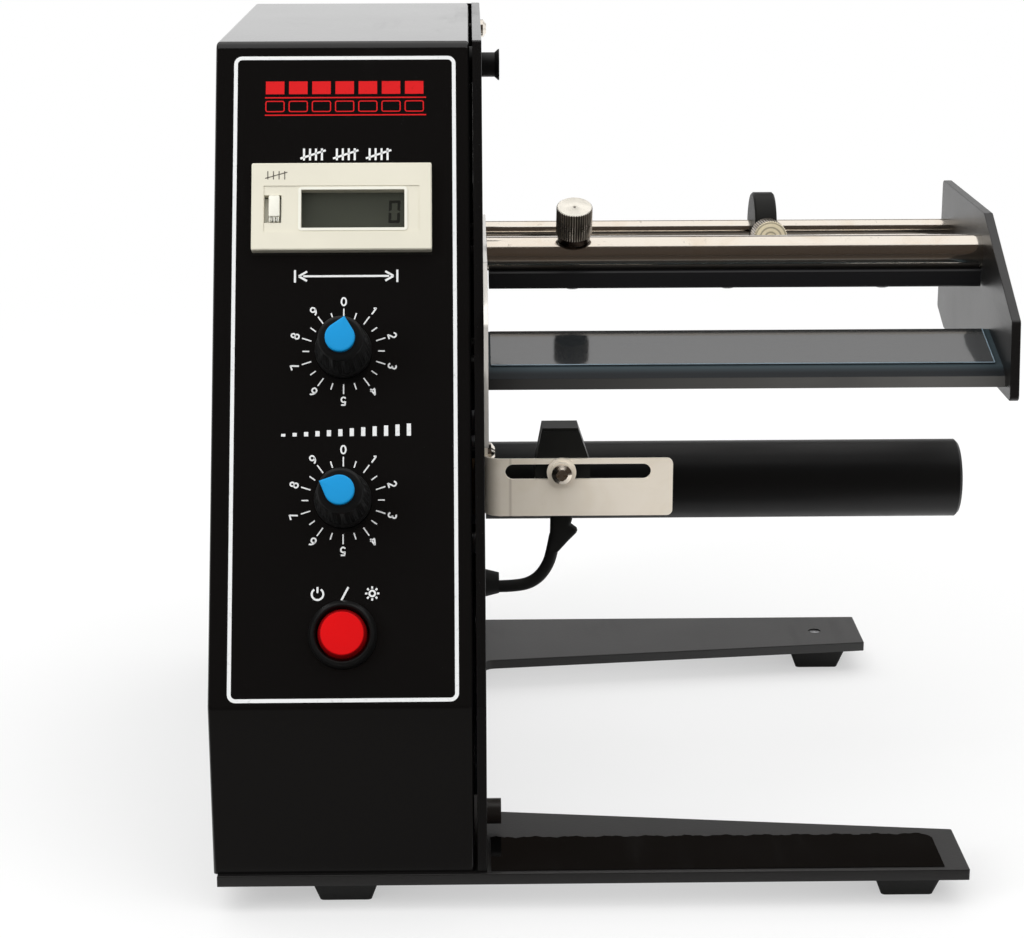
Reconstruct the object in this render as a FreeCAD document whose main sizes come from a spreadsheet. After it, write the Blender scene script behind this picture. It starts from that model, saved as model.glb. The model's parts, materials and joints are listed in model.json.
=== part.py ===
"""Desk label dispenser: a leaning control console on a two-legged base, with the label path
carried beside it between a wall plate and an end plate.

Every place is measured from the console's left front bottom corner: x to the right, y to the
back, z up from the base plate. The finished pieces are shifted so that the origin lies on the
floor under the middle of the whole machine. Millimetres and degrees.
"""
import FreeCAD
import Part
import Sketcher
import os
import re
from FreeCAD import Placement, Rotation, Vector

# Driving dimensions: name, value, what it measures
SIZES = [
    ("cabinet_width", 68.5, "console, left to right"),
    ("cabinet_height", 208.3, "console, base plate to top"),
    ("cabinet_depth", 202.3, "formed shell, nose to back edge"),
    ("nose_height", 46.5, "upright front below the leaning panel"),
    ("panel_lean", 26.0, "degrees that the control panel leans back"),
    ("sheet", 1.2, "sheet metal of shell and rear cover"),
    ("corner_round", 3.0, "bends across the shell"),
    ("edge_round", 1.0, "rounded outer edges of the shell"),
    ("flange", 8.0, "inward flanges of the shell"),
    ("overrun", 1.0, "how far a cutter runs past a face"),
    ("fit_gap", 0.05, "radial gap of a fit"),
    ("slide_gap", 0.1, "gap between flat sliding faces"),
    ("free_gap", 0.35, "radial gap round a free piece"),
    ("wall_gap", 0.85, "between shell and wall plate"),
    ("wall_thickness", 2.5, "wall plate that carries the label path"),
    ("wall_margin", 0.3, "wall plate beyond the shell's outline"),
    ("wall_round", 0.8, "corners of the wall plate"),
    ("plate_edge", 0.3, "rounded edges of the wall, base and end plates"),
    ("base_tail", 0.6, "base plate's back edge in front of the shell's back edge"),
    ("base_lip", 1.5, "base plate in front of the nose"),
    ("base_inset", 1.0, "base plate inside the shell's left face"),
    ("base_thickness", 3.0, "base plate"),
    ("leg_reach", 127.15, "legs beyond the wall plate"),
    ("leg_root", 41.0, "leg width at the wall plate"),
    ("leg_tip", 26.0, "leg width at its end"),
    ("leg_round", 0.5, "outer corners of the legs"),
    ("root_round", 4.0, "inner corners between the legs"),
    ("angle_leg", 15.0, "angle strip between base and wall, each leg"),
    ("angle_sheet", 2.0, "thickness of the angle strip"),
    ("angle_end", 16.0, "angle strip's distance from nose and back"),
    ("foot_height", 7.5, "rubber foot"),
    ("foot_top", 18.8, "square rubber foot where it meets the plate"),
    ("foot_tread", 13.8, "square rubber foot on the floor"),
    ("foot_round", 1.2, "slanting edges of the foot"),
    ("foot_recess_radius", 4.3, "recess for the screw head"),
    ("foot_recess_depth", 3.2, "recess for the screw head"),
    ("foot_edge", 14.2, "foot centre from the base plate's front or back edge"),
    ("foot_end", 15.0, "outer foot centre from the leg's end"),
    ("bolt_radius", 2.0, "shank of the foot and cap screws"),
    ("foot_head_radius", 3.8, "foot screw's head"),
    ("foot_head_height", 2.4, "foot screw's head"),
    ("foot_screw_relief", 0.4, "foot screw's end below the plate's top"),
    ("cap_head_radius", 3.5, "socket cap head"),
    ("cap_head_height", 4.0, "socket cap head"),
    ("cap_socket_radius", 1.7, "corner radius of the hexagon socket"),
    ("cap_socket_depth", 2.2, "hexagon socket"),
    ("cap_height", 5.0, "cap screw centre above the base plate"),
    ("cap_front", 28.0, "cap screw behind the nose"),
    ("pan_head_radius", 2.75, "pan head"),
    ("pan_head_height", 2.0, "pan head"),
    ("pan_shank_radius", 1.5, "pan head screw's shank"),
    ("pan_shank_length", 6.0, "short pan head screw's shank"),
    ("cross_length", 3.2, "cross recess, tip to tip"),
    ("cross_width", 0.9, "cross recess, each arm"),
    ("cross_depth", 0.9, "cross recess"),
    ("lid_screw_inset", 5.2, "rear cover screws from the shell's faces"),
    ("lid_screw_low", 14.0, "lower rear cover screws above the base plate"),
    ("vent_length", 38.0, "vent slot"),
    ("vent_height", 3.2, "vent slot"),
    ("vent_pitch", 7.5, "from vent to vent"),
    ("vent_low", 150.0, "lowest vent above the base plate"),
    ("vent_count", 5, "vent slots"),
    ("inlet_width", 26.5, "power inlet body"),
    ("inlet_height", 19.5, "power inlet body"),
    ("inlet_depth", 22.0, "power inlet body"),
    ("inlet_rim", 2.2, "power inlet flange beyond its body"),
    ("inlet_flange", 1.5, "power inlet flange thickness"),
    ("inlet_wall", 2.2, "power inlet wall round its socket"),
    ("inlet_socket", 15.0, "socket depth"),
    ("inlet_centre", 34.0, "power inlet above the base plate"),
    ("pin_radius", 1.1, "power inlet pin"),
    ("pin_length", 8.0, "power inlet pin"),
    ("pin_spread", 6.5, "outer pins from the middle one"),
    ("pin_drop", 2.5, "outer pins below the socket's middle"),
    ("counter_width", 48.0, "counter bezel"),
    ("counter_height", 24.0, "counter bezel"),
    ("counter_stand", 3.0, "counter bezel proud of the panel"),
    ("counter_share", 0.7388, "counter's place up the panel, of its length"),
    ("bezel_round", 0.5, "counter bezel's corners"),
    ("bezel_chamfer", 0.3, "counter bezel's front edge"),
    ("tray_width", 41.5, "sunk field in the bezel"),
    ("tray_height", 12.7, "sunk field in the bezel"),
    ("tray_depth", 0.25, "sunk field in the bezel"),
    ("tray_drop", 0.7, "sunk field below the bezel's middle"),
    ("display_width", 27.5, "display window"),
    ("display_height", 10.5, "display window"),
    ("display_shift", 3.0, "display window right of the middle"),
    ("window_thickness", 1.0, "clear window"),
    ("window_depth", 1.35, "clear window's back above the panel"),
    ("display_board", 1.0, "board behind the display"),
    ("display_thickness", 2.6, "display in front of its board"),
    ("housing_width", 44.6, "counter housing behind the panel"),
    ("housing_height", 22.0, "counter housing behind the panel"),
    ("housing_depth", 42.0, "counter housing behind the panel"),
    ("housing_wall", 1.2, "counter housing wall"),
    ("cutout_gap", 0.2, "panel cut-out round the counter housing"),
    ("reset_width", 2.9, "reset button"),
    ("reset_height", 7.3, "reset button"),
    ("reset_well", 4.6, "slot in the bezel that the reset button stands in, across"),
    ("reset_shift", 18.3, "reset button's slot left of the middle"),
    ("reset_offset", 0.4, "reset button right of its slot's middle"),
    ("reset_stand", 0.7, "reset button proud of the sunk field"),
    ("reset_rim", 0.4, "reset button's flange behind the bezel, each way and thickness"),
    ("reset_gap", 0.15, "gap round the reset button"),
    ("switch_size", 5.0, "touch switch behind the reset button"),
    ("switch_height", 1.1, "touch switch behind the reset button"),
    ("dial_column", 34.8, "knobs and power button from the shell's left face"),
    ("length_dial_share", 0.5222, "upper knob's place up the panel, of its length"),
    ("speed_dial_share", 0.3, "lower knob's place up the panel, of its length"),
    ("length_pointer", 12.0, "degrees clockwise that the upper knob points"),
    ("speed_pointer", 294.0, "degrees clockwise that the lower knob points"),
    ("knob_radius", 7.5, "knob skirt"),
    ("knob_top_radius", 5.9, "knob top"),
    ("knob_height", 15.4, "knob above the panel"),
    ("knob_clearance", 0.6, "knob off the panel"),
    ("knob_skirt", 2.6, "knob skirt above the panel"),
    ("knob_hollow_radius", 6.0, "hollow under the knob"),
    ("knob_hollow_height", 6.6, "hollow under the knob"),
    ("knob_edge", 0.6, "bevels of the knob"),
    ("knob_taper", 0.5, "knob body inside the skirt's edge"),
    ("pointer_radius", 4.0, "round part of the pointer cap"),
    ("pointer_tip", 5.7, "pointer's tip from the knob's axis"),
    ("pointer_height", 1.4, "pointer cap"),
    ("shaft_radius", 3.0, "potentiometer shaft"),
    ("shaft_top", 13.5, "potentiometer shaft above the panel"),
    ("shaft_fit", 0.07, "radial gap of shafts that turn"),
    ("bush_radius", 3.5, "potentiometer bush"),
    ("bush_top", 5.4, "potentiometer bush above the panel"),
    ("pot_radius", 8.0, "potentiometer can"),
    ("pot_depth", 9.0, "potentiometer can"),
    ("pot_floor", 1.4, "closed back of the potentiometer"),
    ("pot_nut_radius", 5.6, "potentiometer nut, over the corners"),
    ("pot_nut_height", 2.2, "potentiometer nut"),
    ("tag_width", 1.6, "solder tag"),
    ("tag_length", 4.5, "solder tag"),
    ("tag_pitch", 4.0, "from tag to tag"),
    ("tag_sheet", 0.5, "solder tag"),
    ("power_share", 0.1033, "power button's place up the panel, of its length"),
    ("power_bezel_radius", 9.1, "power button's bezel"),
    ("power_bezel_height", 3.5, "power button's bezel"),
    ("power_bezel_bevel", 1.2, "power button's bezel"),
    ("power_lens_radius", 6.45, "power button's lens"),
    ("power_lens_top", 4.6, "lens above the panel"),
    ("power_lens_crown", 0.5, "rise of the lens's dome"),
    ("power_lens_stem", 8.0, "lens below the panel's face"),
    ("power_barrel_radius", 7.9, "threaded barrel"),
    ("power_barrel_depth", 26.0, "threaded barrel"),
    ("power_barrel_floor", 12.0, "bottom of the lens's bore"),
    ("power_nut_radius", 11.0, "nut behind the panel, over the corners"),
    ("power_nut_height", 3.0, "nut behind the panel"),
    ("path_width", 139.65, "label path between wall plate and end plate"),
    ("side_plate_sheet", 1.2, "side plate on the wall plate"),
    ("side_plate_low", 105.0, "lower edge of that side plate"),
    ("side_plate_top", 150.6, "top edge of that side plate"),
    ("end_plate_thickness", 2.5, "end plate"),
    ("plate_back", 141.5, "end plate's back edge"),
    ("plate_low", 117.0, "end plate's lower edge"),
    ("plate_top", 160.3, "end plate's top edge"),
    ("plate_top_front", 81.0, "front end of its top edge"),
    ("plate_front", 37.0, "end plate's front edge"),
    ("plate_brow", 138.3, "where its slope meets the front edge"),
    ("plate_brow_shift", 2.7, "front edge leans back by this much at the brow"),
    ("plate_chamfer", 11.0, "cut rear corner, along the lower edge"),
    ("plate_chamfer_rise", 4.5, "cut rear corner, upwards"),
    ("plate_round", 1.5, "corners of the end plate"),
    ("guide_rod_radius", 3.0, "thin guide rod"),
    ("guide_rod_back", 130.0, "thin guide rod behind the nose"),
    ("guide_rod_height", 147.3, "thin guide rod above the base plate"),
    ("disc_radius", 11.2, "guide disc"),
    ("disc_width", 6.4, "guide disc"),
    ("disc_bevel", 0.5, "guide disc's rim"),
    ("disc_place", 83.75, "guide disc's middle from the wall plate"),
    ("disc_screw_rise", 3.5, "degrees that its thumb screw points up"),
    ("thumb_radius", 5.0, "thumb screw's head"),
    ("thumb_length", 8.6, "thumb screw's head"),
    ("thumb_edge", 0.5, "bevel of the thumb screw's head"),
    ("thumb_neck_radius", 4.6, "thumb screw's neck"),
    ("thumb_neck", 2.0, "thumb screw's neck"),
    ("thumb_dimple_radius", 0.5, "centre mark"),
    ("thumb_dimple_depth", 0.4, "centre mark"),
    ("stud_radius", 2.0, "thumb screw's stud"),
    ("stud_bite", 5.0, "stud inside the press rod"),
    ("knurl_count", 44, "flutes round a thumb screw"),
    ("knurl_depth", 0.3, "flute"),
    ("press_rod_radius", 5.0, "press rod"),
    ("press_rod_back", 84.0, "press rod behind the nose"),
    ("press_rod_height", 148.8, "press rod above the base plate"),
    ("press_rod_flat", 1.0, "flat under the press rod"),
    ("press_bar_width", 11.0, "press bar, front to back"),
    ("press_bar_height", 4.8, "press bar"),
    ("press_bar_gap", 0.5, "press bar from the plates"),
    ("press_bar_bevel", 0.4, "press bar's long edges"),
    ("press_screw_first", 25.15, "first press bar screw from the wall plate"),
    ("press_screw_pitch", 43.6, "from screw to screw"),
    ("press_screw_bite", 2.0, "press bar screw inside the rod"),
    ("press_head_height", 1.0, "press bar screw's head"),
    ("rod_screw_place", 25.45, "the rod's thumb screw from the wall plate"),
    ("rod_screw_lean", 23.5, "degrees that the rod's thumb screw leans forward"),
    ("end_screw_radius", 1.25, "end screw's shank"),
    ("end_screw_head", 2.4, "end screw's sunk head"),
    ("end_screw_sink", 1.3, "end screw's sunk head, depth"),
    ("end_screw_bite", 7.0, "end screw inside its rod"),
    ("end_bore_spare", 1.5, "tapped bore beyond the screw"),
    ("peel_front", 43.5, "peel plate's lower front edge"),
    ("peel_low", 119.6, "peel plate's lower front edge, height"),
    ("peel_face_height", 2.9, "upright front face"),
    ("peel_face_lean", 0.7, "front face leans back by this much"),
    ("peel_bevel_run", 3.8, "bevel behind the front face"),
    ("peel_bevel_rise", 2.1, "bevel behind the front face"),
    ("peel_slope", 16.0, "degrees that the plate's top rises to the back"),
    ("peel_length", 20.5, "top of the peel plate along its slope"),
    ("peel_thickness", 4.5, "peel plate"),
    ("peel_screw_front", 6.0, "front end screw from the bevel, along the slope"),
    ("peel_screw_back", 16.0, "rear end screw from the bevel, along the slope"),
    ("film_thickness", 0.5, "clear sheet on the peel plate"),
    ("film_inset", 0.7, "clear sheet inside the plate's edges"),
    ("film_end", 2.0, "clear sheet from the end plate"),
    ("tube_radius", 11.3, "take-up tube"),
    ("tube_wall", 1.5, "take-up tube"),
    ("tube_gap", 0.65, "take-up tube from the wall plate"),
    ("tube_end", 1.0, "take-up tube's outer end short of the end plate's face"),
    ("tube_bevel", 0.8, "take-up tube's outer end"),
    ("tube_back", 97.0, "take-up tube behind the nose"),
    ("tube_height", 79.4, "take-up tube above the base plate"),
    ("plug_length", 8.0, "plug inside the tube"),
    ("plug_depth", 2.0, "plug from the tube's end"),
    ("drive_radius", 4.0, "take-up shaft"),
    ("bearing_radius", 8.0, "wall bearing"),
    ("bearing_flange", 10.0, "wall bearing's flange radius"),
    ("bearing_flange_thickness", 1.5, "wall bearing's flange"),
    ("bearing_tail", 4.0, "wall bearing inside the cabinet"),
    ("collar_radius", 8.0, "shaft collar"),
    ("collar_length", 7.0, "shaft collar"),
    ("collar_gap", 0.5, "shaft collar from the bearing"),
    ("motor_gap", 4.0, "motor's boss from the shell's left face"),
    ("standoff_radius", 3.0, "posts between wall plate and gearbox"),
    ("standoff_spread", 14.5, "posts from the shaft, both ways"),
    ("gearbox_radius", 24.0, "gearbox"),
    ("gearbox_depth", 18.0, "gearbox"),
    ("gearbox_bore", 7.0, "how far the shaft enters the gearbox"),
    ("motor_radius", 17.0, "motor can"),
    ("motor_depth", 17.0, "motor can"),
    ("motor_boss_radius", 5.0, "boss behind the motor"),
    ("motor_boss", 2.0, "boss behind the motor"),
    ("board_gap", 10.3, "circuit board from the shell's back edge"),
    ("board_height", 96.0, "circuit board"),
    ("board_sheet", 1.6, "circuit board"),
    ("board_clear", 9.0, "circuit board from the gearbox"),
    ("board_low", 62.0, "circuit board's lower edge"),
    ("post_length", 5.0, "board posts"),
    ("post_radius", 2.5, "board posts"),
    ("post_inset", 5.0, "board posts from the board's edges"),
    ("capacitor_radius", 6.5, "large capacitor"),
    ("capacitor_length", 18.0, "large capacitor"),
    ("relay_width", 15.0, "relay"),
    ("relay_height", 19.0, "relay"),
    ("connector_height", 30.0, "connector strip"),
    ("connector_width", 8.0, "connector strip"),
    ("saddle_ear", 5.0, "transformer's mounting foot beyond its core, each side"),
    ("core_depth", 17.0, "transformer core"),
    ("core_height", 38.0, "transformer core"),
    ("core_limb", 7.0, "transformer core beside its coil, each side"),
    ("coil_depth", 33.0, "transformer coil"),
    ("coil_height", 26.0, "transformer coil"),
    ("saddle_gap", 0.8, "transformer's mounting foot from the angle strip"),
    ("saddle_sheet", 1.5, "transformer's mounting foot"),
    ("transformer_left", 4.0, "transformer foot from the shell's left side"),
    ("transformer_inset", 62.3, "transformer's middle in front of the shell's back edge"),
    ("bracket_front", 50.0, "sensor bracket's front face"),
    ("bracket_low", 82.5, "sensor bracket's lower edge"),
    ("bracket_height", 16.1, "sensor bracket"),
    ("bracket_length", 51.45, "sensor bracket from the wall plate"),
    ("bracket_sheet", 1.0, "sensor bracket"),
    ("bracket_bend", 4.5, "outer bend of the sensor bracket"),
    ("bracket_round", 1.6, "outer corners of the sensor bracket"),
    ("tab_depth", 20.0, "tab on the wall plate"),
    ("tab_start", 4.6, "where the raised tab starts"),
    ("tab_rise", 5.2, "tab above the bracket"),
    ("tab_screw_back", 8.0, "tab screw behind the bracket's face"),
    ("tab_screw_height", 98.4, "tab screw above the base plate"),
    ("slot_start", 5.75, "slot's left end from the wall plate"),
    ("slot_end", 45.45, "slot's right end from the wall plate"),
    ("slot_height", 4.3, "slot"),
    ("slot_drop", 3.6, "slot's middle below the bracket's top"),
    ("sensor_place", 21.05, "sensor screw from the wall plate"),
    ("sensor_left", 7.1, "sensor head left of its screw"),
    ("sensor_right", 7.9, "sensor head right of its screw"),
    ("sensor_shoulder", 1.9, "straight sides above the screw"),
    ("sensor_top", 12.0, "sensor head above the screw"),
    ("sensor_top_left", 5.2, "sensor top left of the screw"),
    ("sensor_top_right", 4.5, "sensor top right of the screw"),
    ("sensor_low", 11.1, "sensor head below the screw"),
    ("sensor_depth", 8.4, "sensor head, front to back"),
    ("sensor_window", 0.5, "window band under the sensor's top"),
    ("sensor_window_drop", 0.4, "window band from the top"),
    ("sensor_window_depth", 0.3, "window band"),
    ("washer_radius", 4.0, "washer under the sensor screw"),
    ("washer_thickness", 0.8, "washer under the sensor screw"),
    ("spring_radius", 3.2, "spring washer on that washer"),
    ("spring_thickness", 1.0, "spring washer on that washer"),
    ("lead_back", 5.5, "middle of the sensor's lead behind the sensor's front face"),
    ("sensor_screw_length", 8.0, "sensor screw's shank"),
    ("boot_thickness", 5.0, "cable boot, front to back"),
    ("cable_radius", 1.7, "sensor cable"),
    ("grommet_height", 61.2, "grommet above the base plate"),
    ("grommet_radius", 3.9, "grommet at the wall plate"),
    ("grommet_tip_radius", 2.9, "grommet's outer end"),
    ("grommet_length", 4.0, "grommet outside the wall plate"),
    ("grommet_neck_radius", 3.0, "grommet inside the wall's hole"),
    ("grommet_inner", 1.5, "grommet inside the cabinet"),
    ("socket_back", 97.0, "spindle socket behind the nose"),
    ("socket_drop", 8.2, "spindle socket below the console's top"),
    ("socket_radius", 3.4, "spindle socket"),
    ("socket_length", 5.0, "spindle socket outside the wall plate"),
    ("socket_lip_radius", 4.3, "spindle socket's lip"),
    ("socket_lip", 1.3, "spindle socket's flared lip"),
    ("socket_edge", 0.3, "straight edge of that lip"),
    ("socket_bore", 2.0, "spindle socket's bore"),
    ("socket_bore_depth", 6.0, "spindle socket's bore"),
    ("socket_neck_radius", 3.0, "spindle socket inside the wall's hole"),
    ("socket_nut_radius", 5.0, "spindle socket inside the cabinet"),
    ("socket_nut", 2.0, "spindle socket inside the cabinet"),
    ("dome_inset", 17.3, "upper wall screw in front of the shell's back edge"),
    ("dome_drop", 6.3, "upper wall screw below the console's top"),
]

# Named places and sums, written with the sizes above
PLACES = {
    "sin_lean": "sin(panel_lean * 1 deg)",
    "cos_lean": "cos(panel_lean * 1 deg)",
    "tan_lean": "tan(panel_lean * 1 deg)",
    "half_tan": "tan(panel_lean / 2 * 1 deg)",
    "setback": "(cabinet_height - nose_height) * tan_lean",
    "wall_back": "cabinet_width + wall_gap",
    "wall_face": "wall_back + wall_thickness",
    "guide_face": "wall_face + side_plate_sheet",
    "end_face": "wall_face + path_width",
    "rod_length": "path_width - side_plate_sheet",
    "base_back": "cabinet_depth - base_tail",
    "machine_back": "cabinet_depth + sheet + pan_head_height",
    "panel_length": "(cabinet_height - nose_height) / cos_lean",
    "counter_centre": "counter_share * panel_length",
    "length_dial_place": "length_dial_share * panel_length",
    "speed_dial_place": "speed_dial_share * panel_length",
    "power_place": "power_share * panel_length",
    "dome_back": "cabinet_depth - dome_inset",
    "dome_height": "cabinet_height - dome_drop",
    "socket_height": "cabinet_height - socket_drop",
    "standoff_length": "wall_back - motor_gap - motor_boss - motor_depth - gearbox_depth",
    "board_back": "tube_back + gearbox_radius + board_clear",
    "board_length": "cabinet_depth - board_gap - board_back",
    "saddle_width": "wall_back - angle_leg - saddle_gap - sheet - transformer_left",
    "core_width": "saddle_width - 2 * saddle_ear",
    "coil_width": "core_width - 2 * core_limb",
    "transformer_back": "cabinet_depth - transformer_inset",
    "leg_end": "wall_face + leg_reach",
    "shift_x": "-(end_face + end_plate_thickness) / 2",
    "shift_y": "(base_lip - machine_back) / 2",
    "shift_z": "base_thickness + foot_height",
    "peel_sin": "sin(peel_slope * 1 deg)",
    "peel_cos": "cos(peel_slope * 1 deg)",
    "peel_top_front": "peel_front + peel_face_lean + peel_bevel_run",
    "peel_top_low": "peel_low + peel_face_height + peel_bevel_rise",
    "peel_top_back": "peel_top_front + peel_length * peel_cos",
    "peel_top_high": "peel_top_low + peel_length * peel_sin",
    "peel_under_back": "peel_top_back + peel_thickness * peel_sin",
    "peel_under_high": "peel_top_high - peel_thickness * peel_cos",
    "bar_top": "press_rod_height - press_rod_radius + press_rod_flat",
    "bar_low": "bar_top - press_bar_height",
    "bracket_top": "bracket_low + bracket_height",
    "slot_centre": "bracket_top - slot_drop",
    "sensor_front": "bracket_front + bracket_sheet + slide_gap",
    "lead_middle": "sensor_front + lead_back",
    "tube_start": "wall_face + tube_gap",
    "tube_stop": "end_face - tube_end",
    "gearbox_face": "wall_back - standoff_length",
    "inlet_face": "cabinet_depth + sheet",
}

# The sensor cable's route from the boot to the grommet, seen from the front: x from the wall
# plate's outer face, z above the base plate
CABLE_ROUTE = [(18.9, 71.0), (17.7, 66.4), (14.6, 62.1), (9.8, 60.15), (4.05, 60.15)]
# Each bend's radius, as a share of what its two runs would allow at most
CABLE_BEND_SHARE = 0.45
# The sensor screw's head sits on two washers
SCREW_SEAT = "washer_thickness + spring_thickness"
# The boot's outline on the same axes
BOOT_OUTLINE = [(18.2, 83.9), (24.5, 83.9), (24.4, 79.8), (23.7, 78.0), (25.8, 76.3),
                (20.7, 70.7), (17.4, 72.1), (18.1, 74.7)]

ALIASES = {name for name, value, note in SIZES}
doc = FreeCAD.newDocument("LabelDispenser")
sheet = doc.addObject("Spreadsheet::Sheet", "Sizes")
nodes = []


def fill_sheet():
    """Write the driving dimensions into the sheet, one row each."""
    for row, (name, value, note) in enumerate(SIZES, start=1):
        sheet.set(f"A{row}", name)
        sheet.set(f"B{row}", str(value))
        sheet.set(f"C{row}", note)
        sheet.setAlias(f"B{row}", name)
    doc.recompute()


def formula(text):
    """Turn a sum of named sizes and places into an expression on the sheet's cells."""
    def swap(match):
        word = match.group(0)
        if word in PLACES:
            return "(" + formula(PLACES[word]) + ")"
        return "Sizes." + word if word in ALIASES else word
    return re.sub(r"[a-z_]+", swap, text)


def num(text):
    """The value of a sum of named sizes."""
    value = sheet.evalExpression(formula(text))
    return float(getattr(value, "Value", value))


def bind(thing, prop, text):
    """Let a property follow a sum of named sizes."""
    thing.setExpression(prop, formula(text))


def node(thing, name):
    """Name a finished sub-part."""
    thing.Label = name
    nodes.append(thing)
    return thing


def seat(thing, x, y, z, axis=None, angle="0"):
    """Place a piece by its local origin, turned about one axis, and shift it to the row frame."""
    if axis is not None:
        thing.Placement = Placement(Vector(), Rotation(axis, num(angle)))
        bind(thing, ".Placement.Rotation.Angle", angle)
    bind(thing, ".Placement.Base.x", f"shift_x + {x}")
    bind(thing, ".Placement.Base.y", f"shift_y + {y}")
    bind(thing, ".Placement.Base.z", f"shift_z + {z}")
    return thing


X_AXIS = Vector(1, 0, 0)
Y_AXIS = Vector(0, 1, 0)
# Turned pieces stand along local z: these angles about y lay them to the right or left
RIGHTWARDS = "90"
LEFTWARDS = "-90"


def seat_on_panel(thing, u, v, n="0"):
    """Place a piece on the leaning panel: u across, v up the panel, n out of it."""
    y = f"({v}) * sin_lean - ({n}) * cos_lean"
    z = f"nose_height + ({v}) * cos_lean + ({n}) * sin_lean"
    return seat(thing, u, y, z, X_AXIS, "90 - panel_lean")


def new_body(name):
    """An empty body, which may hold several solids."""
    body = doc.addObject("PartDesign::Body", name)
    body.AllowCompound = True
    return body


def new_sketch(body, role, height="0", turn_axis=None, turn="0", base=("0", "0")):
    """A sketch on one of the body's origin planes, raised along its normal and turned."""
    sketch = body.newObject("Sketcher::SketchObject", body.Name + "_sketch")
    face = [item for item in body.Origin.OriginFeatures if item.Role == role][0]
    sketch.AttachmentSupport = [(face, "")]
    sketch.MapMode = "FlatFace"
    if turn_axis is not None:
        sketch.AttachmentOffset = Placement(Vector(), Rotation(turn_axis, num(turn)))
        bind(sketch, ".AttachmentOffset.Rotation.Angle", turn)
    bind(sketch, ".AttachmentOffset.Base.x", base[0])
    bind(sketch, ".AttachmentOffset.Base.y", base[1])
    bind(sketch, ".AttachmentOffset.Base.z", height)
    return sketch


def pin_point(sketch, shape, end, across, up):
    """Hold one point of the sketch at two named distances from its origin."""
    for kind, text, axis_line in (("DistanceX", across, -2), ("DistanceY", up, -1)):
        if text == "0":
            sketch.addConstraint(Sketcher.Constraint("PointOnObject", shape, end, axis_line))
            continue
        rule = Sketcher.Constraint(kind, -1, 1, shape, end, num(text))
        index = sketch.addConstraint(rule)
        bind(sketch, f"Constraints[{index}]", text)


def draw_outline(sketch, points):
    """A closed outline of straight edges through named points."""
    corners = [Vector(num(across), num(up), 0) for across, up in points]
    first = sketch.GeometryCount
    total = len(corners)
    for index in range(total):
        sketch.addGeometry(Part.LineSegment(corners[index], corners[(index + 1) % total]), False)
    for index in range(total):
        following = first + (index + 1) % total
        sketch.addConstraint(Sketcher.Constraint("Coincident", first + index, 2, following, 1))
    for index, (across, up) in enumerate(points):
        pin_point(sketch, first + index, 1, across, up)


def draw_rectangle(sketch, left, low, right, high):
    """A rectangle between two named corners."""
    draw_outline(sketch, [(left, low), (right, low), (right, high), (left, high)])


def draw_circle(sketch, across, up, radius):
    """A circle round a named point."""
    centre = Vector(num(across), num(up), 0)
    index = sketch.addGeometry(Part.Circle(centre, Vector(0, 0, 1), num(radius)), False)
    pin_point(sketch, index, 3, across, up)
    rule = sketch.addConstraint(Sketcher.Constraint("Radius", index, num(radius)))
    bind(sketch, f"Constraints[{rule}]", radius)


def pad(body, sketch, length):
    """Raise a sketch along its normal."""
    feature = body.newObject("PartDesign::Pad", body.Name + "_pad")
    feature.Profile = sketch
    bind(feature, "Length", length)
    doc.recompute()
    return feature


def pocket(body, sketch, depth, along_normal=False):
    """Cut a sketch into the body, against its normal unless told otherwise."""
    before = body.Shape.Volume
    feature = body.newObject("PartDesign::Pocket", body.Name + "_pocket")
    feature.Profile = sketch
    feature.Reversed = along_normal
    bind(feature, "Length", depth)
    doc.recompute()
    if body.Shape.Volume >= before:
        raise ValueError(f"{body.Name}: a pocket cuts nothing")
    return feature


def turn_profile(body, points):
    """Revolve an outline of (radius, height) points about local z."""
    sketch = new_sketch(body, "XZ_Plane")
    draw_outline(sketch, points)
    feature = body.newObject("PartDesign::Revolution", body.Name + "_turned")
    feature.Profile = sketch
    feature.ReferenceAxis = (sketch, ["V_Axis"])
    feature.Angle = 360
    doc.recompute()
    return feature


def round_edges(body, feature, wanted, radius, kind="Fillet", size="Radius"):
    """Fillet or chamfer the edges of a feature that the test picks."""
    names = [f"Edge{i}" for i, edge in enumerate(feature.Shape.Edges, start=1) if wanted(edge)]
    result = body.newObject("PartDesign::" + kind, body.Name + "_" + kind.lower())
    result.Base = (feature, names)
    bind(result, size, radius)
    doc.recompute()
    return result


def direction(edge):
    """Unit direction of a straight edge, or a null vector."""
    if edge.Curve.TypeId != "Part::GeomLine":
        return Vector()
    span = edge.Vertexes[-1].Point - edge.Vertexes[0].Point
    return span.normalize() if span.Length > 0 else span


def runs_along(edge, axis):
    """Whether a straight edge runs along an axis."""
    return abs(direction(edge).dot(axis)) > 1 - 1e-6


def near(value, text):
    """Whether a coordinate lies at a named place."""
    return abs(value - num(text)) < 1e-4


def turned(name, points):
    """A turned piece in a body of its own."""
    body = new_body(name)
    turn_profile(body, points)
    return body


def box(name, x_size, y_size, z_size):
    """A block bound to the sheet."""
    block = doc.addObject("Part::Box", name)
    bind(block, "Length", x_size)
    bind(block, "Width", y_size)
    bind(block, "Height", z_size)
    return block


def cylinder(name, radius, height):
    """A cylinder bound to the sheet."""
    rod = doc.addObject("Part::Cylinder", name)
    bind(rod, "Radius", radius)
    bind(rod, "Height", height)
    return rod


def joined(name, pieces):
    """Several pieces fused into one."""
    fused = doc.addObject("Part::MultiFuse", name)
    fused.Shapes = pieces
    doc.recompute()
    return fused


def cut_with(name, base, tools):
    """A piece less its cutters."""
    result = doc.addObject("Part::Cut", name)
    result.Base = base
    result.Tool = tools[0] if len(tools) == 1 else joined(name + "_cutters", tools)
    doc.recompute()
    return result


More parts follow.
